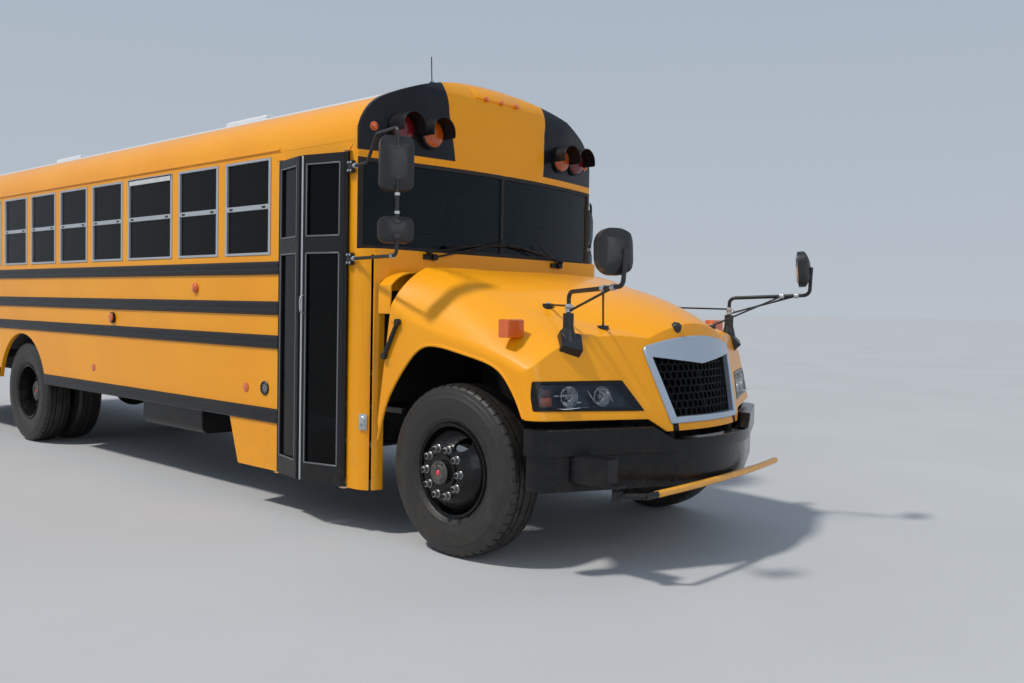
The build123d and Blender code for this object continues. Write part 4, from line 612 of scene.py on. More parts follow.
# Outline of half a tyre: radius, and distance from its middle
tyre_half = (
    (0.286, 0.1015), (0.297, 0.1105), (0.306, 0.1172), (0.313, 0.1205), (0.317, 0.1238), (0.322, 0.1232),
    (0.345, 0.1325), (0.370, 0.1376), (0.396, 0.1394), (0.420, 0.1385), (0.434, 0.1360), (0.438, 0.1372),
    (0.443, 0.1345), (0.466, 0.1268), (0.470, 0.1280), (0.476, 0.1238), (0.490, 0.1205), (0.500, 0.1170),
    (0.509, 0.1080), (0.5145, 0.0960), (0.5165, 0.0850), (0.5172, 0.0770), (0.5060, 0.0750),
    (0.5060, 0.0690), (0.5182, 0.0670), (0.5192, 0.0520), (0.5196, 0.0380), (0.5070, 0.0360),
    (0.5070, 0.0290), (0.5202, 0.0270), (0.5210, 0.0100),
)
tyre_section = tyre_half + tuple((radius, -away) for radius, away in reversed(tyre_half))
# Bands of the tread that are notched: from and to the tyre's middle, one face in so many, first, depth
tread_notches = ((0.0850, 0.1165, 4, 0, 0.0055), (0.0680, 0.0850, 8, 2, 0.0040),
                 (0.0280, 0.0660, 8, 6, 0.0045), (0.0, 0.0260, 8, 4, 0.0035))


def notch(piece, middle, band):
    """Sink every so many faces of one band of the tread."""
    near, far, every, first, depth = band

    def chosen(face):
        across = abs(face.center.y - middle.y)
        spoke = face.center.xz - middle.xz
        drop = shoulder_drop if near > 0.08 else 0.0
        if not near < across < far or spoke.length < tread_foot - drop:
            return False
        turn = math.atan2(spoke.y, spoke.x) / (2 * math.pi)
        return math.floor(turn * tyre_steps) % every == first

    with editing(piece, "FACE", chosen):
        bpy.ops.mesh.extrude_region_shrink_fatten(TRANSFORM_OT_shrink_fatten={"value": -depth})


def shifted(piece, name, move):
    """A copy of a piece moved in its mesh."""
    twin = copy_of(piece, name)
    with editing(twin):
        bpy.ops.transform.translate(value=move)
    return twin


def make_tyres():
    """Six tyres from one: ribbed, notched at the shoulders, with rings on their walls."""
    out = track_face - tyre_width / 2
    first = turned(tyre_section, (0, -out, tyre_radius), (0, -1, 0), tyre_steps)
    middle = Vector((along(0), -out, tyre_radius))
    for band in tread_notches:
        notch(first, middle, band)
    settle(first, 40)
    step = tyre_width + dual_gap
    groups = {
        "front_left": ((0, 2 * out),), "rear_right": ((rear_axle, 0), (rear_axle, step)),
        "rear_left": ((rear_axle, 2 * out), (rear_axle, 2 * out - step)),
    }
    for place, moves in groups.items():
        group = [shifted(first, f"tyre_{place}_{index}", (dx, dy, 0))
                 for index, (dx, dy) in enumerate(moves)]
        node = ("front_tyre_" if "front" in place else "rear_tyres_") + place.split("_")[1]
        piece = dress(joined(group, f"treaded_{place}"), "tyre", f"wheel_{place}")
        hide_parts(node)
    dress(named(first, "treaded_front_right"), "tyre", "wheel_front_right")
    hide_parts("front_tyre_right")


nut_circle = 0.143
nut_count = 10
ring_angles = [math.radians(angle) for angle in range(0, 360, 45)]


def make_hub(place, x, side, face, cap_radius, cap_reach):
    """Nuts, hub cap with its plug, dust shield, rim bead and valve of one wheel; face is its disc's Y."""
    body = f"wheel_{place}"
    out = (0, side, 0)

    def spot(radius, turn, away):
        return (x + radius * math.cos(turn), side * (face + away), tyre_radius + radius * math.sin(turn))

    nuts = []
    studs = []
    for index in range(nut_count):
        turn = math.radians(index * 360 / nut_count)
        nuts.append(turned([(0.015, 0), (0.0255, 0), (0.0255, 0.004), (0.022, 0.007), (0.015, 0.007)],
                           spot(nut_circle, turn, 0.0005), out, 20))
        nuts.append(hexagon(spot(nut_circle, turn, 0.006), out, 0.0205, 0.031))
        studs.append(turned([(0, 0), (0.0115, 0), (0.0115, 0.006), (0.0095, 0.0085), (0, 0.0085)],
                            spot(nut_circle, turn, 0.0365), out, 16))
    dress(joined(nuts, f"wheel_nuts_{place}"), "nut", body)
    dress(joined(studs, f"wheel_studs_{place}"), "chassis", body)
    cap = [(0, 0), (1.06, 0), (1.06, 0.003), (1.00, 0.006), (0.70, 0.007), (0.64, 0.012), (0.44, 0.013),
           (0.40, 0.009), (0.24, 0.009), (0, 0.009)]
    cap = [(share * cap_radius, away) for share, away in cap]
    parts = [turned(cap, spot(0, 0, cap_reach - 0.0005), out, 48)]
    for angle in ring_angles:
        bolt_turn = angle + math.radians(22.5)
        parts.append(hexagon(spot(cap_radius * 0.84, bolt_turn, cap_reach + 0.005), out, 0.0065, 0.006))
    dress(joined(parts, f"hub_cap_{place}"), "grease", body)
    plug = turned([(0, 0), (0.016, 0), (0.017, 0.002), (0.014, 0.005), (0.006, 0.006), (0, 0.006)],
                  spot(0, 0, cap_reach + 0.0083), out, 24)
    dress(named(plug, f"hub_plug_{place}"), "plug", body)
    if face > 1.0:
        shield = turned([(0.150, -0.0015), (0.248, -0.0015), (0.248, 0.0015), (0.150, 0.0015)],
                        (x, side * 1.030, tyre_radius), out, 48)
        dress(named(shield, f"dust_shield_{place}"), "chassis", body)
    outer = track_face - 0.030
    bead = [(0.2790 + 0.0055 * math.cos(angle), 0.0055 * math.sin(angle)) for angle in ring_angles]
    ring = turned(bead, (x, side * outer, tyre_radius), out, 96)
    dress(named(ring, f"rim_bead_{place}"), "black_gloss", body)
    valve_y = min(face - 0.070, outer - 0.200) - face
    valve_turn = math.radians(60)
    low, high, tip = (spot(radius, valve_turn, valve_y + away)
                      for radius, away in ((0.222, 0.0), (0.226, 0.070), (0.227, 0.084)))
    valve = [rod(low, high, 0.0045, 12), rod(high, tip, 0.0062, 12)]
    dress(joined(valve, f"valve_{place}"), "silver", body)


make_tyres()
# Wheel, its X from the front axle, its side, its disc's Y, and its hub's radius and reach
for hub in (("front_right", 0.0, -1, 1.2175, 0.066, 0.034), ("front_left", 0.0, 1, 1.2175, 0.066, 0.034),
            ("rear_right", rear_axle, -1, 0.8915, 0.096, 0.175),
            ("rear_left", rear_axle, 1, 0.8915, 0.096, 0.175)):
    make_hub(*hub)


# Lamps

def lens(centre, direction, radius, rise, name, finish, body="bus"):
    """Domed lens with a rim, its base at centre."""
    profile = [(0, -0.004), (radius, -0.004), (radius, 0.004), (radius * 0.94, 0.006)]
    profile += [(radius * 0.94 * math.cos(math.radians(a)), 0.006 + rise * math.sin(math.radians(a)))
                for a in (18, 36, 54, 72, 90)]
    return dress(named(turned(profile, centre, direction, 40), name), finish, body)


def slab(centre, normal, wide, high, thick, width=0.002):
    """Rounded plate lying on a surface: its base at centre, its thickness along the normal."""
    bpy.ops.mesh.primitive_cube_add(size=1)
    piece = bpy.context.object
    piece.scale = (wide, high, thick)
    only(piece)
    bpy.ops.object.transform_apply(location=False, rotation=False, scale=True)
    if width:
        round_edges(piece, width)
    with editing(piece):
        bpy.ops.transform.translate(value=(0, 0, thick / 2))
    out = Vector(normal).normalized()
    across = Vector((0, 0, 1)).cross(out).normalized()
    up = out.cross(across)
    piece.matrix_world = Matrix.Translation(placed(centre)) @ Matrix((across, up, out)).transposed().to_4x4()
    return settle(piece)


def cap_drop(y):
    """How far the curved front falls back at y."""
    return front_radius - math.sqrt(front_radius ** 2 - y ** 2)


def warning_lenses():
    """Domed lenses of the eight flashing lamps: amber inside, red outside, in darkened finishes that paint
    the shade of their visors.
    """
    for end, way, places in (("front", 1, ((0.686, 2.672, "amber"), (0.916, 2.679, "red"))),
                             ("rear", -1, ((0.700, 2.700, "amber"), (0.930, 2.690, "red")))):
        for y, z, colour in places:
            x = cowl_front - cap_drop(y) + 0.030 if end == "front" else body_rear - 0.040
            for side, word in sides:
                lens((x, side * y, z), (way, 0, 0), 0.090, 0.020, f"warning_{colour}_{end}_{word}",
                     f"warning_{colour}")


headlamp_middle = (0.780, -0.860, 1.015)
# Bowls of the right headlamp: place and direction
headlamp_bowls = (((0.711, -0.957, 1.008), (0.93, -0.32, 0.10)),
                  ((0.790, -0.760, 1.006), (0.93, -0.28, 0.10)))
# Its chrome bars: from and to
headlamp_bars = (((0.692, -1.040, 1.016), (0.740, -0.935, 1.020)),
                 ((0.736, -0.945, 0.972), (0.764, -0.885, 0.980)),
                 ((0.716, -0.985, 0.986), (0.728, -0.960, 0.968)),
                 ((0.780, -0.850, 1.046), (0.800, -0.800, 0.972)),
                 ((0.826, -0.715, 1.040), (0.842, -0.690, 0.975)))
# Its reflectors: place, height and finish
headlamp_ambers = (((0.674, -1.100, 0.985), 0.052, "amber_lamp"),
                   ((0.664, -1.100, 1.034), 0.040, "smoked_amber"))


def right_lamp(name):
    """Closed copy of the right headlamp's body."""
    lamp = refined("headlamps", 0.0, name=name)
    with editing(lamp, "FACE", lambda face: face.center.y > 0):
        bpy.ops.mesh.delete(type="FACE")
    return lamp


def make_headlamps():
    """Black lamp bodies hollowed behind smoked lenses, with two bowls and amber reflectors."""
    hollow = right_lamp("headlamp_hollow")
    with editing(hollow):
        bpy.ops.transform.resize(value=(1, 0.93, 0.80), center_override=placed(headlamp_middle))
        bpy.ops.transform.translate(value=(0.032, 0, 0))
    hollow.data.materials.clear()
    hollow.data.materials.append(finishes["lamp_well"])
    body = dress(right_lamp("headlamp_bodies"), "black_gloss", "hood_unit")
    modify(body, "BOOLEAN", operation="DIFFERENCE", object=hollow, solver="EXACT", material_mode="TRANSFER")
    cover = right_lamp("headlamp_lenses")
    behind = right_lamp("headlamp_behind")
    with editing(behind):
        bpy.ops.transform.translate(value=(-0.004, 0, 0))
    modify(cover, "BOOLEAN", operation="INTERSECT", object=hollow, solver="EXACT")
    modify(cover, "BOOLEAN", operation="DIFFERENCE", object=behind, solver="EXACT")
    dress(cover, "clear_lamp", "hood_unit")
    for piece in (body, cover):
        smooth(mirrored(piece))
    bpy.data.objects.remove(hollow)
    bpy.data.objects.remove(behind)
    bowl = [(0, 0.004), (0.020, 0.003), (0.036, 0.010), (0.048, 0.024), (0.053, 0.040), (0.056, 0.042),
            (0.059, 0.040), (0.053, 0.018), (0.040, 0.004), (0.022, -0.003), (0, -0.003)]
    ball = [(0, 0.008), (0.015, 0.008), (0.0165, 0.014), (0.013, 0.022), (0.007, 0.026), (0, 0.027)]
    ring = [(0.0165, 0.006), (0.021, 0.006), (0.021, 0.018), (0.0175, 0.019)]
    for profile, name, finish, steps in ((bowl, "bowls", "chrome", 40), (ball, "bulbs", "pale_lens", 24),
                                         (ring, "rings", "black_gloss", 24)):
        pieces = [turned(profile, place, way, steps) for place, way in headlamp_bowls]
        dress(both_sides(joined(pieces, f"headlamp_{name}")), finish, "hood_unit")
    shelf = box((0.700, -1.060, 0.949), (0.790, -0.640, 0.955), 0.002)
    dress(both_sides(named(shelf, "headlamp_shelves")), "chrome", "hood_unit")
    bars = [rod(start, end, 0.0055, 12) for start, end in headlamp_bars]
    dress(both_sides(joined(bars, "headlamp_bars")), "chrome", "hood_unit")
    for place, high, finish in headlamp_ambers:
        block = slab(place, (0.85, -0.50, 0.10), 0.074, high, 0.018, 0.004)
        dress(both_sides(named(block, f"headlamp_{finish}")), finish, "hood_unit")


# Grille

def nose_front(y, z, inset):
    """X from the front axle of the nose's leaning face, moved inwards."""
    radius = nose_radius - inset
    back = radius - math.sqrt(radius ** 2 - y ** 2)
    return nose_tip - inset - back - nose_lean * (z - nose_foot_z)


def honeycomb():
    """Fine honeycomb behind the surround's opening, bent to the nose."""
    pitch = 0.0500
    inset = 0.0258
    row_step = pitch * math.sqrt(3) / 2
    first_cell = (along(1.0), 0.5 - 10 * pitch, 0.860)
    bpy.ops.mesh.primitive_circle_add(vertices=6, radius=pitch / math.sqrt(3), fill_type="NGON",
                                      location=first_cell, rotation=(0, math.pi / 2, 0))
    cell = bpy.context.object
    settle(cell)
    second = shifted(cell, "cell", (0, pitch / 2, row_step))
    sheet = joined([cell, second], "fine_grille")
    row(sheet, 11, (0, -pitch, 0))
    row(sheet, 5, (0, 0, 2 * row_step))
    # Cuts of the right half: the middle, the foot, the slanting side and the drooping top
    edges = (((0, 0, 0), (0, 1, 0)), ((0, 0, 0.872), (0, 0, -1)),
             ((0, -0.343, 0.872), (0, -0.372, -0.103)), ((0, 0, 1.193), (0, 0.047, 0.432)))
    with editing(sheet):
        bpy.ops.mesh.remove_doubles(threshold=1e-4)
        for place, normal in edges:
            bpy.ops.mesh.select_all(action="SELECT")
            bpy.ops.mesh.bisect(plane_co=place, plane_no=normal, clear_outer=True)
        bpy.ops.mesh.select_all(action="SELECT")
        bpy.ops.mesh.inset(thickness=0.0032, use_individual=True, use_boundary=True)
        bpy.ops.mesh.delete(type="FACE")
    modify(sheet, "MIRROR", use_axis=(False, True, False), use_mirror_merge=True, merge_threshold=1e-4)
    for vertex in sheet.data.vertices:
        vertex.co.x = along(nose_front(vertex.co.y, vertex.co.z, inset))
    outwards(sheet)
    with editing(sheet):
        if sum(face.normal.x for face in sheet.data.polygons) < 0:
            bpy.ops.mesh.flip_normals()
    modify(sheet, "SOLIDIFY", thickness=0.019, offset=-1.0)
    round_edges(sheet, 0.0008, 1)
    settle(sheet)
    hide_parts("grille_mesh")
    dress(sheet, "mesh_black", "hood_unit")


def side_shade_plates():
    """Black plates beside the radiator, painted shade that closes the view under the hood behind the bumper.
    """
    plate = box((0.744, 0.474, 0.580), (0.750, 0.930, 0.850), 0.002)
    dress(both_sides(named(plate, "radiator_shade_plates")), "radiator")


def grille_shade_screen():
    """Black screen close behind the honeycomb, painted shade that stands for the dark engine bay and lets no
    light through from it.
    """
    wide = 0.800
    high = 0.356
    middle_z = 1.041
    inset = 0.078
    bpy.ops.mesh.primitive_grid_add(x_subdivisions=4, y_subdivisions=16, size=1)
    screen = named(bpy.context.object, "grille_shade_screen")
    for vertex in screen.data.vertices:
        y = vertex.co.y * wide
        z = middle_z + vertex.co.x * high
        vertex.co = (along(nose_front(y, z, inset)), y, z)
    modify(screen, "SOLIDIFY", thickness=0.004, offset=0.0)
    outwards(screen)
    dress(settle(screen), "radiator", "hood_unit")


def round_surround():
    """Round the upper corners of the grille surround by tangent cuts, then all its edges."""
    corner_radius = 0.045
    corner_centre = (0.4356, 1.2572)
    surround = bpy.data.objects["grille_surround_shell"]
    with editing(surround):
        for side in (-1, 1):
            for cut in range(1, 8):
                turn = math.radians(-14.2 + cut * 11.1)
                away = Vector((0, side * math.cos(turn), math.sin(turn)))
                middle = Vector((0, side * corner_centre[0], corner_centre[1]))
                bpy.ops.mesh.select_all(action="SELECT")
                bpy.ops.mesh.bisect(plane_co=middle + away * corner_radius, plane_no=away, clear_outer=True,
                                    use_fill=True)
    round_edges(surround, 0.005)
    smooth(surround)


warning_lenses()
make_headlamps()
honeycomb()
grille_shade_screen()
side_shade_plates()
round_surround()
gate_foot_y = -0.80
repaint(bpy.data.objects["crossing_gate_shell"], "black_satin", lambda face: face.center.y < gate_foot_y)


# Front cap, windshield and cowl

def tube(points, radius, name, facets=2, order=3):
    """Round tube that follows points, straight between them when its order is 2."""
    line = bpy.data.curves.new(name, "CURVE")
    line.dimensions = "3D"
    spline = line.splines.new("NURBS")
    spline.points.add(len(points) - 1)
    for point, (x, y, z) in zip(spline.points, points):
        point.co = (along(x), y, z, 1.0)
    spline.order_u = order
    spline.use_endpoint_u = True
    spline.resolution_u = 6
    line.bevel_depth = radius
    line.bevel_resolution = facets
    line.use_fill_caps = True
    piece = bpy.data.objects.new(name, line)
    bpy.context.scene.collection.objects.link(piece)
    only(piece)
    bpy.ops.object.convert(target="MESH")
    piece = bpy.context.object
    outwards(piece)
    return named(settle(piece), name)


def pair(make, name, finish, body="bus"):
    """The same piece on both sides, made by make(side) for the right (-1) and the left (1)."""
    for side, word in sides:
        dress(named(make(side), f"{name}_{word}"), finish, body)


def marker_cluster():
    """Raised yellow strip with three small amber lamps at the top of the cap."""
    slope = (0.80, 0, 0.60)
    strip = slab((-0.805, 0.010, 3.027), slope, 0.48, 0.104, 0.030, 0.010)
    dress(named(strip, "cap_marker_strip"), "yellow")
    dome = [(0, -0.004), (0.020, -0.004), (0.020, 0.006), (0.015, 0.013), (0.006, 0.016), (0, 0.016)]
    lamps = [turned(dome, (-0.754, y, 3.005), slope, 24) for y in (-0.130, 0.030, 0.190)]
    dress(joined(lamps, "cap_marker_lamps"), "amber_lamp")


def corner_marker(side):
    """Domed lamp on the cap's corner."""
    dome = [(0, 0), (0.030, 0), (0.030, 0.006), (0.022, 0.012), (0.020, 0.020), (0.010, 0.026), (0, 0.026)]
    return turned(dome, (-0.818, side * 1.112, 2.672), (0.98, side * 0.22, 0), 28)


def wiper(pivot_y, tip_y, blade):
    """Wiper: pivot cap, arm, and a blade along the foot of the glass."""
    def face_x(y, away):
        return cowl_front - cap_drop(y) + away

    pivot = (-0.650, pivot_y, 1.868)
    bend = (-0.640, pivot_y + (tip_y - pivot_y) * 0.2, 1.885)
    elbow = (face_x(tip_y, 0.040), tip_y, 1.945)
    ends = [(face_x(y, 0.016), y, z) for y, z in blade]
    parts = [turned([(0, 0), (0.022, 0), (0.022, 0.016), (0.014, 0.026), (0, 0.028)],
                    (-0.668, pivot_y, 1.866), (1, 0, 0.15), 24),
             tube([pivot, bend, elbow], 0.0065, "arm"),
             tube(ends, 0.0075, "blade"),
             tube([(x + 0.012, y, z + 0.004) for x, y, z in ends[1:-1]], 0.005, "bow")]
    return joined(parts, "wiper")


def windshield_wipers():
    """The two wipers, each given by its pivot's Y, its tip's Y and the line of its blade."""
    wipers = (
        wiper(-0.745, -0.250, ((-0.560, 1.915), (-0.300, 1.935), (0.0, 1.950), (0.020, 1.951))),
        wiper(0.640, 0.180, ((0.560, 1.912), (0.300, 1.938), (0.060, 1.952), (0.040, 1.953))),
    )
    for piece, (side, word) in zip(wipers, sides):
        dress(named(piece, f"wiper_arm_{word}"), "black_satin")


# Latches, lamps and fittings on the hood, the cowl and the body

def hood_sensor():
    """Small round sensor on the hood, just above the grille."""
    body = turned([(0, -0.01), (0.034, -0.01), (0.036, 0.004), (0.030, 0.010), (0.022, 0.024),
                   (0.008, 0.034), (0, 0.034)], (0.930, -0.177, 1.404), (0.96, -0.13, 0.5), 28)
    dress(named(body, "hood_sensor"), "plastic", "hood_unit")


# X and Z of the wheel arch's edge, from its rear foot to its front one
arch_line = ((-0.640, 0.640), (-0.600, 0.800), (-0.555, 0.905), (-0.494, 1.001), (-0.400, 1.120),
             (-0.300, 1.222), (-0.200, 1.268), (-0.060, 1.262), (0.100, 1.232), (0.290, 1.196),
             (0.380, 1.166), (0.450, 1.120), (0.530, 1.020), (0.570, 0.950), (0.600, 0.888))


def arch_lip(side):
    """Rolled edge of the wheel arch."""
    return tube([(x, side * 1.187, z + 0.004) for x, z in arch_line], 0.010, "lip", 3)


def cowl_latch(side):
    """Ring latch on a plate at the foot of the cowl."""
    way = (0.46, side * 0.89, 0)
    plate = slab((-0.772, side * 1.206, 0.744), way, 0.055, 0.105, 0.006, 0.002)
    ring = [(0.016 + 0.004 * math.cos(angle), 0.012 + 0.004 * math.sin(angle)) for angle in ring_angles]
    loop = turned(ring, (-0.770, side * 1.206, 0.726), way, 28)
    boss = turned([(0, 0), (0.017, 0), (0.017, 0.010), (0.012, 0.014), (0, 0.014)],
                  (-0.770, side * 1.206, 0.765), way, 24)
    return joined([plate, loop, boss], "latch")


def speaker():
    """Round outside speaker behind the entry door, with a studded face."""
    x = -1.883
    z = 0.886
    middle = (x, -half_width, z)
    out = (0, -1, 0)
    ring = turned([(0.040, 0), (0.052, 0), (0.052, 0.006), (0.048, 0.010), (0.042, 0.008), (0.040, 0.004)],
                  middle, out, 36)
    face = turned([(0, 0), (0.041, 0), (0.041, 0.003), (0, 0.003)], middle, out, 36)
    dress(joined([ring, face], "outside_speaker"), "plastic")
    stud = [(0, 0.0028), (0.0045, 0.0028), (0.0045, 0.0042), (0.003, 0.005), (0, 0.005)]
    studs = [turned(stud, (x + radius * math.cos(turn), -half_width, z + radius * math.sin(turn)), out, 10)
             for turn in ring_angles for radius in (0.013, 0.028)]
    dress(joined(studs, "speaker_studs"), "silver")


def side_reflectors():
    """Round reflectors low on both sides, and the amber lamp behind the entry door."""
    disc = [(0, 0), (0.036, 0), (0.036, 0.004), (0.030, 0.007), (0, 0.008)]
    dome = [(0, 0), (0.040, 0), (0.040, 0.010), (0.034, 0.020), (0.018, 0.028), (0, 0.030)]
    for side, word in sides:
        out = (0, side, 0)
        amber = [turned(disc, (x, side * half_width, 0.875), out, 28) for x in (-2.133, -4.70)]
        red = turned(disc, (-9.70, side * half_width, 0.875), out, 28)
        if side == -1:
            amber.append(turned(dome, (-2.866, -half_width, 1.611), out, 32))
        dress(joined(amber, f"side_ambers_{word}"), "amber_lamp")
        dress(named(red, f"side_reds_{word}"), "red_lamp")


def rivet_row(side):
    """Rivet heads along the roof's edge."""
    head = [(0, 0), (0.0055, 0), (0.005, 0.0014), (0.003, 0.0024), (0, 0.0026)]
    heads = [turned(head, (-2.0 - index * 0.142, side * half_width, 2.562), (0, side, 0), 8)
             for index in range(56)]
    return joined(heads, "rivets")


def drip_rail(side):
    """Rain gutter over the windows."""
    return tube([(x, side * 1.221, 2.589) for x in (-1.72, -5.9, -10.02)], 0.009, "gutter", 2, 2)


def marker_lenses():
    """Lenses of the side markers, the tail lamps and the three lamps over the rear window."""
    tail_lamps = ((1.500, 0.080, "red_lamp", "red_lamp"), (1.270, 0.080, "amber_lamp", "amber_lamp"),
                  (1.060, 0.046, "pale_lens", "clear_lamp"))
    for side, word in sides:
        for x, place in ((-4.300, "middle"), (-8.100, "rear")):
            lens((x, side * 1.2410, 1.345), (0, side, 0), 0.040, 0.007, f"side_marker_{place}_{word}",
                 "amber_lamp")
        for z, radius, finish, slot in tail_lamps:
            lens((body_rear - 0.028, side * 1.010, z), (-1, 0, 0), radius, 0.010,
                 f"tail_{finish}_{word}", finish)
    boxes = [slab((body_rear - 0.029, y, 2.9475), (-1, 0, 0), 0.078, 0.026, 0.007, 0.003)
             for y in (-0.150, 0.0, 0.150)]
    dress(joined(boxes, "rear_top_lenses"), "red_lamp")


first_window = -1.829
window_count = 11
window_wide = 0.606
window_post = 0.104
exit_windows = (2, 7)
exit_extra = 0.166


def window_fittings(side, word):
    """White bands of the two emergency windows and latches on every middle rail."""
    bands = []
    latches = []
    front = first_window
    for index in range(window_count):
        rear = front - window_wide - (exit_extra if index in exit_windows else 0.0)
        if index in exit_windows:
            y = side * half_width
            bands.append(box((rear + 0.008, y - 0.006, 2.492), (front - 0.008, y + 0.006, 2.543), 0.003))
        y = side * (half_width + 0.005)
        for x in (rear + 0.085, front - 0.085):
            latches.append(box((x - 0.022, y - 0.004, 2.190), (x + 0.022, y + 0.006, 2.206), 0.002))
        front = rear - window_post
    dress(joined(bands, f"window_bands_{word}"), "white_trim")
    dress(joined(latches, f"window_latches_{word}"), "plastic")


def stop_arm_trim():
    """White border and the two flashing lamps of the stop arm's blank plate."""
    middle = Vector((-2.025, 1.281, 1.610))
    out = Vector((0, 1, 0))
    border = [(0.2190, 0.0076), (0.2405, 0.0076), (0.2405, 0.0092), (0.2190, 0.0092)]
    parts = []
    for way in (1, -1):
        ring = turned(border, middle, out * way, 8)
        with editing(ring):
            bpy.ops.transform.rotate(value=math.radians(22.5), orient_axis="Y", orient_type="GLOBAL",
                                     center_override=placed(middle))
        parts.append(settle(ring, 20))
    dress(joined(parts, "stop_arm_border"), "white_trim", "stop_sign_arm")
    rim = [(0.044, 0), (0.054, 0), (0.054, 0.007), (0.049, 0.010), (0.044, 0.007)]
    rims = []
    for dz, name in ((-0.140, "stop_lamp_lower"), (0.140, "stop_lamp_upper")):
        place = middle + Vector((0, 0.008, dz))
        lens(place, out, 0.046, 0.014, name, "red_lamp", "stop_sign_arm")
        rims.append(turned(rim, place, out, 32))
    for dz in (-0.060, 0.060):
        for dx in (-0.020, 0.020):
            rims.append(hexagon(middle + Vector((0.205 + dx, 0.008, dz)), out, 0.007, 0.006))
    dress(joined(rims, "stop_lamp_rims"), "black_satin", "stop_sign_arm")


def hatch_ribs(x, word):
    """Raised ribs on a roof hatch."""
    ribs = [box((x - 0.235, y - 0.012, 3.1735), (x + 0.235, y + 0.012, 3.1815), 0.004)
            for y in (-0.18, -0.06, 0.06, 0.18)]
    dress(joined(ribs, f"hatch_ribs_{word}"), "white", f"hatch_{word}")


def seals_round(spans):
    """Rubber beads round panes in the rear face, each given by its Y and Z limits."""
    wide = 0.020
    parts = []
    for (y_low, y_high), (z_low, z_high) in spans:
        for low, high in (((y_low - wide, z_low - wide), (y_high + wide, z_low)),
                          ((y_low - wide, z_high), (y_high + wide, z_high + wide)),
                          ((y_low - wide, z_low), (y_low, z_high)),
                          ((y_high, z_low), (y_high + wide, z_high))):
            parts.append(box((body_rear - 0.006, *low), (body_rear + 0.012, *high), 0.004))
    return parts


def rear_seals():
    """Seals of the panes in the rear wall and in the emergency door."""
    door = (((-0.370, 0.370), (1.900, 2.440)), ((-0.370, 0.370), (1.160, 1.560)))
    wall = (((-1.080, -0.600), (1.900, 2.480)), ((0.600, 1.080), (1.900, 2.480)))
    dress(joined(seals_round(door), "rear_door_seals"), "rubber", "emergency_door")
    dress(joined(seals_round(wall), "rear_window_seals"), "rubber")


marker_cluster()
pair(corner_marker, "cap_corner_marker", "amber_lamp")
windshield_wipers()
hood_sensor()
pair(arch_lip, "arch_lip", "yellow", "hood_unit")
pair(cowl_latch, "cowl_latch", "silver")
speaker()
side_reflectors()
pair(rivet_row, "roof_edge_rivets", "yellow")
pair(drip_rail, "rain_gutter", "yellow")
marker_lenses()
for side, word in sides:
    window_fittings(side, word)
stop_arm_trim()
rear_seals()
for x, word in ((-3.600, "front"), (-7.400, "rear")):
    hatch_ribs(x, word)


# Padded seats

cloth_frames = 20
bench_pitch = 0.700
bench_rows = 11


def swell(piece, cap):
    """Fill a closed piece like a stuffed cover, with no point moved further than the cap."""
    places = [vertex.co.copy() for vertex in piece.data.vertices]
    only(piece)
    cloth = piece.modifiers.new("cloth", "CLOTH")
    cloth.settings.use_pressure = True
    cloth.settings.uniform_pressure_force = 4.0
    cloth.settings.quality = 4
    cloth.settings.effector_weights.gravity = 0.0
    for step in range(cloth_frames):
        bpy.context.scene.frame_set(step + 1)
    bpy.ops.object.modifier_apply(modifier=cloth.name)
    for vertex, place in zip(piece.data.vertices, places):
        move = vertex.co - place
        if move.length > cap:
            vertex.co = place + move * (cap / move.length)
    bpy.context.scene.frame_set(1)


def cushion(low, high, name, voxel, cap, crown=0.0, tip=0.0):
    """Cushion between two corners: its faces crowned, its cover swelled."""
    piece = named(box(low, high, 0.034, 4), name)
    modify(piece, "REMESH", mode="VOXEL", voxel_size=voxel)
    middle = [(a + b) / 2 for a, b in zip(low, high)]
    middle[0] = along(middle[0])
    half = [(b - a) / 2 for a, b in zip(low, high)]
    for vertex in piece.data.vertices:
        place = vertex.co
        share = [(place[axis] - middle[axis]) / half[axis] for axis in range(3)]
        if tip and share[2] > 0.45:
            place.y = middle[1] + (place.y - middle[1]) * (1 - tip * min((share[2] - 0.45) / 0.35, 1.0))
        for axis in range(3):
            others = [share[other] for other in range(3) if other != axis]
            swelling = (1 - others[0] ** 2) * (1 - others[1] ** 2)
            place[axis] += crown * share[axis] * (swelling - 0.35)
    swell(piece, cap)
    return piece


def seam(piece, place, normal):
    """Sewn groove all round a cushion where a plane cuts it."""
    width = 0.005
    depth = 0.006
    way = Vector(normal).normalized()
    spot = placed(place)
    for shift in (-width, 0.0, width):
        with editing(piece):
            bpy.ops.mesh.bisect(plane_co=spot + way * shift, plane_no=way)
    sunk = [vertex for vertex in piece.data.vertices if abs((vertex.co - spot).dot(way)) < width * 0.2]
    for vertex in sunk:
        vertex.co = vertex.co - vertex.normal * depth


def bench_row(piece, name):
    """A copy of a cushion in each row on each side of the aisle, as one padded piece."""
    mirrored(row(piece, bench_rows, (-bench_pitch, 0, 0)))
    dress(settle(named(piece, name), 80), "vinyl")
    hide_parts("bench_seats")


def make_benches():
    """Cushions and high backs of the passenger benches, with sewn ends."""
    seat = cushion((-2.668, 0.172, 1.308), (-2.292, 1.146, 1.420), "bench_cushions", 0.026, 0.012, 0.012)
    for y in (0.240, 1.078):
        seam(seat, (-2.480, y, 1.364), (0, 1, 0))
    seam(seat, (-2.335, 0.659, 1.364), (1, 0, 0))
    bench_row(seat, "bench_cushions")
    back = cushion((-2.762, 0.172, 1.290), (-2.690, 1.146, 2.040), "bench_backs", 0.027, 0.010, 0.008)
    for y in (0.240, 1.078):
        seam(back, (-2.725, y, 1.665), (0, 1, 0))
    seam(back, (-2.725, 0.659, 1.955), (0, 0, 1))
    bench_row(back, "bench_backs")


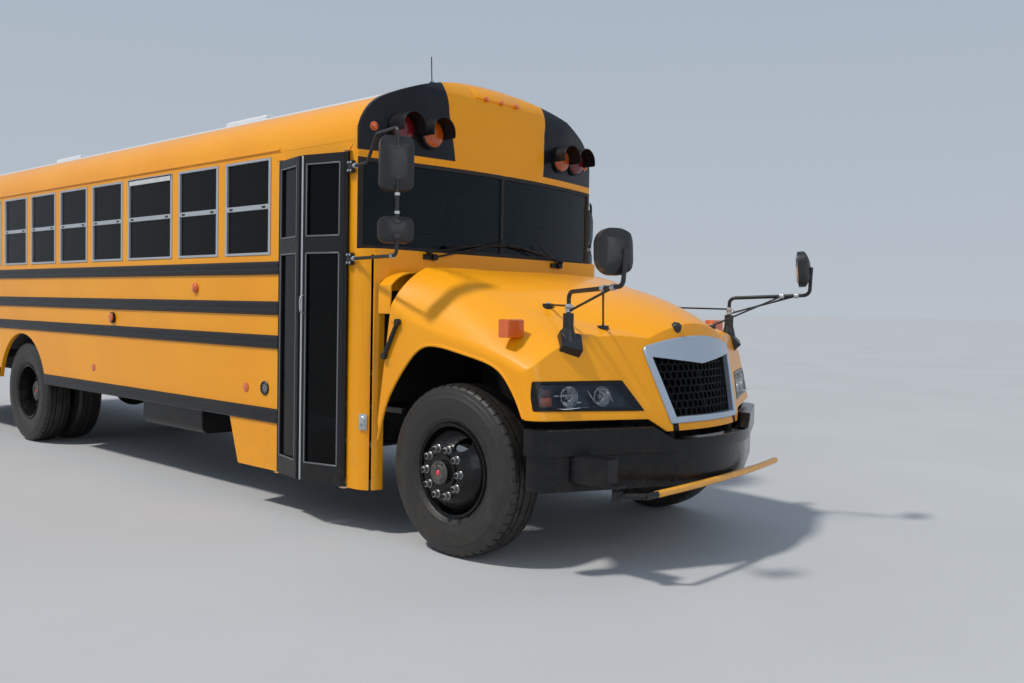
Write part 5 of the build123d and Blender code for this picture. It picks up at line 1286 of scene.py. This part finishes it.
def make_driver_seat():
    """Driver's seat: a sewn cushion and a back that narrows to its headrest, on a pleated pedestal."""
    seat = cushion((-1.790, 0.380, 1.430), (-1.330, 0.860, 1.540), "driver_cushion", 0.016, 0.014, 0.014)
    for y in (0.450, 0.790):
        seam(seat, (-1.560, y, 1.485), (0, 1, 0))
    back = cushion((-1.893, 0.390, 1.490), (-1.803, 0.850, 2.228), "driver_back", 0.016, 0.010, 0.012, 0.34)
    for z in (2.010, 1.760):
        seam(back, (-1.848, 0.620, z), (0, 0, 1))
    for piece in (seat, back):
        modify(piece, "SUBSURF", levels=1, render_levels=1)
        dress(settle(piece, 80), "vinyl")
        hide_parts("driver_seat")
    pleats = [(0, 0.028)]
    for index in range(9):
        z = 0.030 + index * 0.040
        pleats += [(0.118, z), (0.140, z + 0.020)]
    pleats += [(0.118, 0.390), (0, 0.392)]
    parts = [turned(pleats, (-1.560, 0.620, 1.000), (0, 0, 1), 32),
             box((-1.710, 0.470, 1.001), (-1.410, 0.770, 1.030), 0.006),
             box((-1.720, 0.440, 1.390), (-1.400, 0.800, 1.412), 0.006)]
    for y in (0.480, 0.730):
        parts.append(box((-1.880, y, 1.405), (-1.400, y + 0.030, 1.428), 0.004))
        parts.append(box((-1.885, y, 1.405), (-1.860, y + 0.030, 1.560), 0.004))
    pedestal = dress(joined(parts, "driver_pedestal"), "black_satin")
    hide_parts("driver_seat")


make_benches()
make_driver_seat()


# Entry door

door_opening_front = -0.929
door_opening_wide = 0.746
door_gap = 0.009
door_rear_edge = door_opening_front - door_opening_wide + door_gap
door_front_edge = door_opening_front - door_gap
leaf_wide = (door_opening_wide - 3 * door_gap) / 2
leaf_face = -half_width - 0.036
leaf_turn = math.radians(13.0)


def on_leaf(piece, at_front):
    """Turn a piece that was made on a closed leaf to where the leaf stands."""
    edge = door_front_edge if at_front else door_rear_edge
    turn = -leaf_turn if at_front else leaf_turn
    with editing(piece):
        bpy.ops.transform.rotate(value=turn, orient_axis="Z", orient_type="GLOBAL",
                                 center_override=(along(edge), -half_width - 0.018, 0))
    return piece


def pane_trim(x_low, x_high, z_low, z_high, y):
    """Thin trim round a door pane."""
    wide = 0.010
    strips = (((x_low, z_low), (x_high, z_low + wide)), ((x_low, z_high - wide), (x_high, z_high)),
              ((x_low, z_low), (x_low + wide, z_high)), ((x_high - wide, z_low), (x_high, z_high)))
    return [box((low[0], y - 0.004, low[1]), (high[0], y + 0.003, high[1]), 0.0015) for low, high in strips]


def dress_door():
    """Pane trims, edge strips and grip of the entry door."""
    for at_front, word in ((True, "front"), (False, "rear")):
        body = f"entry_leaf_{word}"
        low = door_front_edge - leaf_wide if at_front else door_rear_edge
        high = low + leaf_wide
        trims = []
        for z_low, z_high in ((1.960, 2.430), (0.440, 1.840)):
            for y in (leaf_face, -half_width - 0.002):
                trims += pane_trim(low + 0.034, high - 0.034, z_low - 0.008, z_high + 0.008, y)
        piece = on_leaf(joined(trims, f"pane_trims_{word}"), at_front)
        dress(piece, "grey_trim", body)
        strip = (low - 0.003, low + 0.011) if at_front else (high - 0.011, high + 0.003)
        edge = box((strip[0], leaf_face - 0.004, 0.315), (strip[1], -half_width, 2.490), 0.002)
        piece = on_leaf(named(edge, f"leaf_edge_{word}"), at_front)
        dress(piece, "silver" if at_front else "rubber", body)
    grip_x = door_front_edge - leaf_wide + 0.018
    grip_line = ((0.002, 1.56), (-0.030, 1.56), (-0.034, 1.50), (-0.030, 1.44), (0.002, 1.44))
    grip = tube([(grip_x, leaf_face + away, z) for away, z in grip_line], 0.005, "door_grip")
    dress(on_leaf(grip, True), "silver", "entry_leaf_front")


def step_trim():
    """White edges on the entry steps and the slanting grab rail."""
    rises = 3
    lowest = 0.337
    tread = 0.680 / rises
    rise = (1.000 - lowest) / rises
    for index in range(rises + 1):
        y = -half_width + 0.040 + tread * index
        z = lowest + rise * index
        edge = box((-1.660, y - 0.004, z - 0.030), (-0.945, y + 0.030, z + 0.004), 0.003)
        dress(named(edge, f"step_nosing_{index}"), "white_trim")
    rail = tube([(-0.960, -1.150, 1.02), (-1.000, -1.150, 1.03), (-1.040, -1.150, 1.10),
                 (-1.440, -1.150, 1.86), (-1.480, -1.150, 1.92), (-1.510, -1.165, 1.93)], 0.014,
                "entry_grab_rail")
    dress(rail, "silver")


dress_door()
step_trim()


# Mirrors

mirror_turn = math.radians(29.0)
# Side, its word, X and Y of the heads' middle, their heights, and how far out the arms' outer clamp is
mirror_places = ((-1, "right", -0.300, 1.362, (2.350, 1.956), 0.600),
                 (1, "left", -1.005, 1.375, (2.190, 1.918), 0.080))
# Width and height of the upper and the lower head
mirror_sizes = ((0.205, 0.323), (0.212, 0.157))
mirror_foot_x = -0.890
mirror_arms = (1.802, 2.399)


def pane(centre, normal, wide, high, corner, rise):
    """Mirror glass with rounded corners, bulging a little, its back at centre."""
    thick = 0.002
    piece = slab(centre, normal, wide, high, thick, 0.0)
    away = Vector(normal).normalized()
    front = placed(centre) + away * thick

    def upright(edge):
        ends = [piece.data.vertices[index].co for index in edge.vertices]
        return abs((ends[0] - ends[1]).normalized().dot(away)) > 0.9

    with editing(piece, "EDGE", upright):
        bpy.ops.mesh.bevel(offset=corner, segments=8)
    with editing(piece, "FACE", lambda face: face.normal.dot(away) > 0.9):
        for scale, share in ((0.94, 0.20), (0.84, 0.32), (0.70, 0.27), (0.40, 0.21)):
            bpy.ops.mesh.extrude_region_move(TRANSFORM_OT_translate={"value": away * rise * share})
            bpy.ops.transform.resize(value=(scale, scale, scale), center_override=front)
            bpy.ops.transform.translate(value=away * 0.00005)
    return settle(piece, 60)


def cuff(centre, direction, inner, outer, long):
    """Clamp ring round a tube, with rounded rims."""
    edge = (outer - inner) * 0.3
    half = long / 2
    return turned([(inner, -half), (outer - edge, -half), (outer, -half + edge), (outer, half - edge),
                   (outer - edge, half), (inner, half)], centre, direction, 24)


def rear_mirror_fittings(side, word, head_x, head_y, heights, outer_reach):
    """Glasses, tube clips and clamps of a pair of rear-view mirror heads, and the bolts of their arms."""
    out = Vector((math.cos(mirror_turn), side * math.sin(mirror_turn), 0))
    head = Vector((head_x, side * head_y, 0))
    panes = []
    seals = []
    for z, (wide, high) in zip(heights, mirror_sizes):
        back = head - out * 0.0222 + Vector((0, 0, z))
        seals.append(pane(back, -out, wide - 0.012, high - 0.012, 0.044, 0.0))
        panes.append(pane(back - out * 0.002, -out, wide - 0.030, high - 0.030, 0.036, 0.004))
    dress(joined(seals, f"mirror_seal_{word}"), "rubber")
    dress(joined(panes, f"mirror_glass_{word}"), "chrome")
    stand = head + out * 0.052
    clamps = []
    for z in (heights[0] - 0.185, heights[1] + 0.100):
        clamps.append(cuff(stand + Vector((0, 0, z)), (0, 0, 1), 0.0095, 0.0155, 0.018))
    foot = Vector((mirror_foot_x, side * (half_width + 0.014), 0))
    way = (stand - foot).normalized()
    across = (0, side, 0)
    for z in mirror_arms:
        for reach in (0.060, outer_reach):
            spot = foot + way * reach + Vector((0, 0, z))
            clamps.append(cuff(spot, way, 0.0095, 0.0165, 0.026))
            clamps.append(hexagon(spot + Vector((0, side * 0.012, 0)), across, 0.008, 0.010))
        for dz in (-0.026, 0.026):
            for dx in (-0.014, 0.014):
                bolt = (mirror_foot_x + dx, side * (half_width + 0.0295), z + dz)
                clamps.append(hexagon(bolt, across, 0.0075, 0.006))
    dress(joined(clamps, f"mirror_clamps_{word}"), "silver")
    clips = []
    for z, (wide, high) in zip(heights, mirror_sizes):
        for dz in (-0.27 * high, 0.27 * high):
            clips.append(slab(head + out * 0.048 + Vector((0, 0, z + dz)), out, 0.046, 0.034, 0.018, 0.005))
    dress(joined(clips, f"mirror_clips_{word}"), "plastic")


def on_hood(x, y):
    """Height of the hood's skin at a place on its right half."""
    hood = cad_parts["hood"]
    tops = []
    for face in hood.data.polygons:
        corners = [hood.data.vertices[index].co for index in face.vertices]
        hit = intersect_ray_tri(*corners[:3], Vector((0, 0, -1)), Vector((along(x), -y, 3.0)))
        if hit:
            tops.append(hit.z)
    return max(tops)


cross_head = (1.130, 1.100, 1.807)
cross_facing = (0.90, 0.42, 0.08)
cross_post = (0.676, 0.905)
cross_top = 1.600
cross_arm_end = (1.184, 1.092, cross_top + 0.028)
stay_feet = ((0.355, 0.706), (0.703, 0.612))


def crossview_fittings(side, word):
    """Glass, clamps and stay feet of the mirror on one fender."""
    out = Vector((cross_facing[0], side * cross_facing[1], cross_facing[2])).normalized()
    head = Vector((cross_head[0], side * cross_head[1], cross_head[2]))
    back = head - out * 0.0345
    seal = pane(back, -out, 0.206, 0.240, 0.085, 0.0)
    dress(named(seal, f"crossview_seal_{word}"), "rubber", "hood_unit")
    glass = pane(back - out * 0.002, -out, 0.186, 0.220, 0.080, 0.030)
    dress(named(glass, f"crossview_glass_{word}"), "chrome", "hood_unit")
    ground = on_hood(*cross_post)
    post = Vector((cross_post[0], side * cross_post[1], 0))
    arm_start = Vector((cross_post[0], side * cross_post[1], cross_top))
    arm_end = Vector((cross_arm_end[0], side * cross_arm_end[1], cross_arm_end[2]))
    way = (arm_end - arm_start).normalized()
    heights = (ground + 0.172, 1.516)
    clamps = [cuff(post + Vector((0, 0, z)), (0, 0, 1), 0.0115, 0.0195, 0.034) for z in heights]
    clamps += [cuff(arm_start.lerp(arm_end, share), way, 0.0115, 0.0190, 0.032) for share in (0.66, 0.84)]
    clamps += [hexagon(post + Vector((0.018, 0, z)), (1, 0, 0), 0.009, 0.014) for z in heights]
    dress(joined(clamps, f"crossview_clamps_{word}"), "silver", "hood_unit")
    feet = []
    for foot_x, foot_y in stay_feet:
        z = on_hood(foot_x, foot_y)
        feet.append(turned([(0, 0), (0.014, 0), (0.014, 0.004), (0.008, 0.009), (0, 0.010)],
                           (foot_x, side * foot_y, z + 0.013), (0, 0, 1), 20))
    dress(joined(feet, f"stay_feet_{word}"), "silver", "hood_unit")


for place in mirror_places:
    rear_mirror_fittings(*place)
for side, word in sides:
    crossview_fittings(side, word)


# Floor, light and camera

def lay_floor():
    """Plain pale floor that reaches the horizon."""
    bpy.ops.mesh.primitive_plane_add(size=600, location=(0, 0, 0))
    floor = named(bpy.context.object, "studio_floor")
    finish = Finish("pale_floor", specular_ior_level=0.15)
    patches = finish.ramp(finish.noise(0.35, 4.0), 0.3, 0.7)
    grain = finish.noise(160.0, 3.0)
    finish.feed(base_color=finish.mix(patches, (0.44, 0.445, 0.45), (0.47, 0.475, 0.48)),
                roughness=patches * 0.06 + 0.78, normal=finish.bump(grain, 0.001, 0.3))
    floor.data.materials.append(finish.material)


def light_room():
    """Pale, even surroundings and one broad lamp from high on the bus's right."""
    world = bpy.data.worlds.new("pale_room")
    bpy.context.scene.world = world
    world.use_nodes = True
    tree = world.node_tree
    background = tree.nodes["Background"]
    place = tree.nodes.new("ShaderNodeTexCoord")
    split = tree.nodes.new("ShaderNodeSeparateXYZ")
    ramp = tree.nodes.new("ShaderNodeValToRGB")
    tree.links.new(place.outputs["Generated"], split.inputs[0])
    tree.links.new(split.outputs["Z"], ramp.inputs[0])
    ramp.color_ramp.elements[0].position = 0.0
    ramp.color_ramp.elements[0].color = (0.60, 0.66, 0.73, 1)
    ramp.color_ramp.elements[1].position = 0.6
    ramp.color_ramp.elements[1].color = (0.42, 0.52, 0.66, 1)
    tree.links.new(ramp.outputs[0], background.inputs["Color"])
    background.inputs["Strength"].default_value = 0.80
    bpy.ops.object.light_add(type="SUN", location=(0, 0, 20))
    sun = bpy.context.object
    sun.name = "key_lamp"
    sun.data.energy = 2.65
    sun.data.angle = math.radians(5.0)
    sun.data.color = (1.0, 0.96, 0.90)
    sun.rotation_euler = Vector((-0.21, -0.50, 0.84)).to_track_quat("Z", "Y").to_euler()
    bpy.ops.object.light_add(type="AREA", location=(16.0, -4.0, 6.0))
    fill = bpy.context.object
    fill.name = "front_fill"
    fill.data.size = 8.0
    fill.data.energy = 260.0
    fill.rotation_euler = Vector((12.0, -4.0, 4.5)).to_track_quat("Z", "Y").to_euler()


def set_camera():
    """Camera at the photograph's own place, angle and focal length."""
    forward = Vector((math.cos(camera_yaw) * math.cos(camera_pitch),
                      math.sin(camera_yaw) * math.cos(camera_pitch), math.sin(camera_pitch)))
    level = forward.cross(Vector((0, 0, 1))).normalized()
    upright = level.cross(forward)
    right = level * math.cos(camera_roll) + upright * math.sin(camera_roll)
    top = upright * math.cos(camera_roll) - level * math.sin(camera_roll)
    bpy.ops.object.camera_add()
    camera = bpy.context.object
    camera.matrix_world = Matrix((
        (right.x, top.x, -forward.x, camera_place[0]),
        (right.y, top.y, -forward.y, camera_place[1]),
        (right.z, top.z, -forward.z, camera_place[2]),
        (0, 0, 0, 1)))
    camera.data.sensor_width = sensor_width
    camera.data.lens = focal_pixels / image_width * sensor_width
    camera.data.clip_end = 300
    bpy.context.scene.camera = camera


lay_floor()
light_room()
set_camera()
bpy.context.scene.view_settings.view_transform = "Standard"
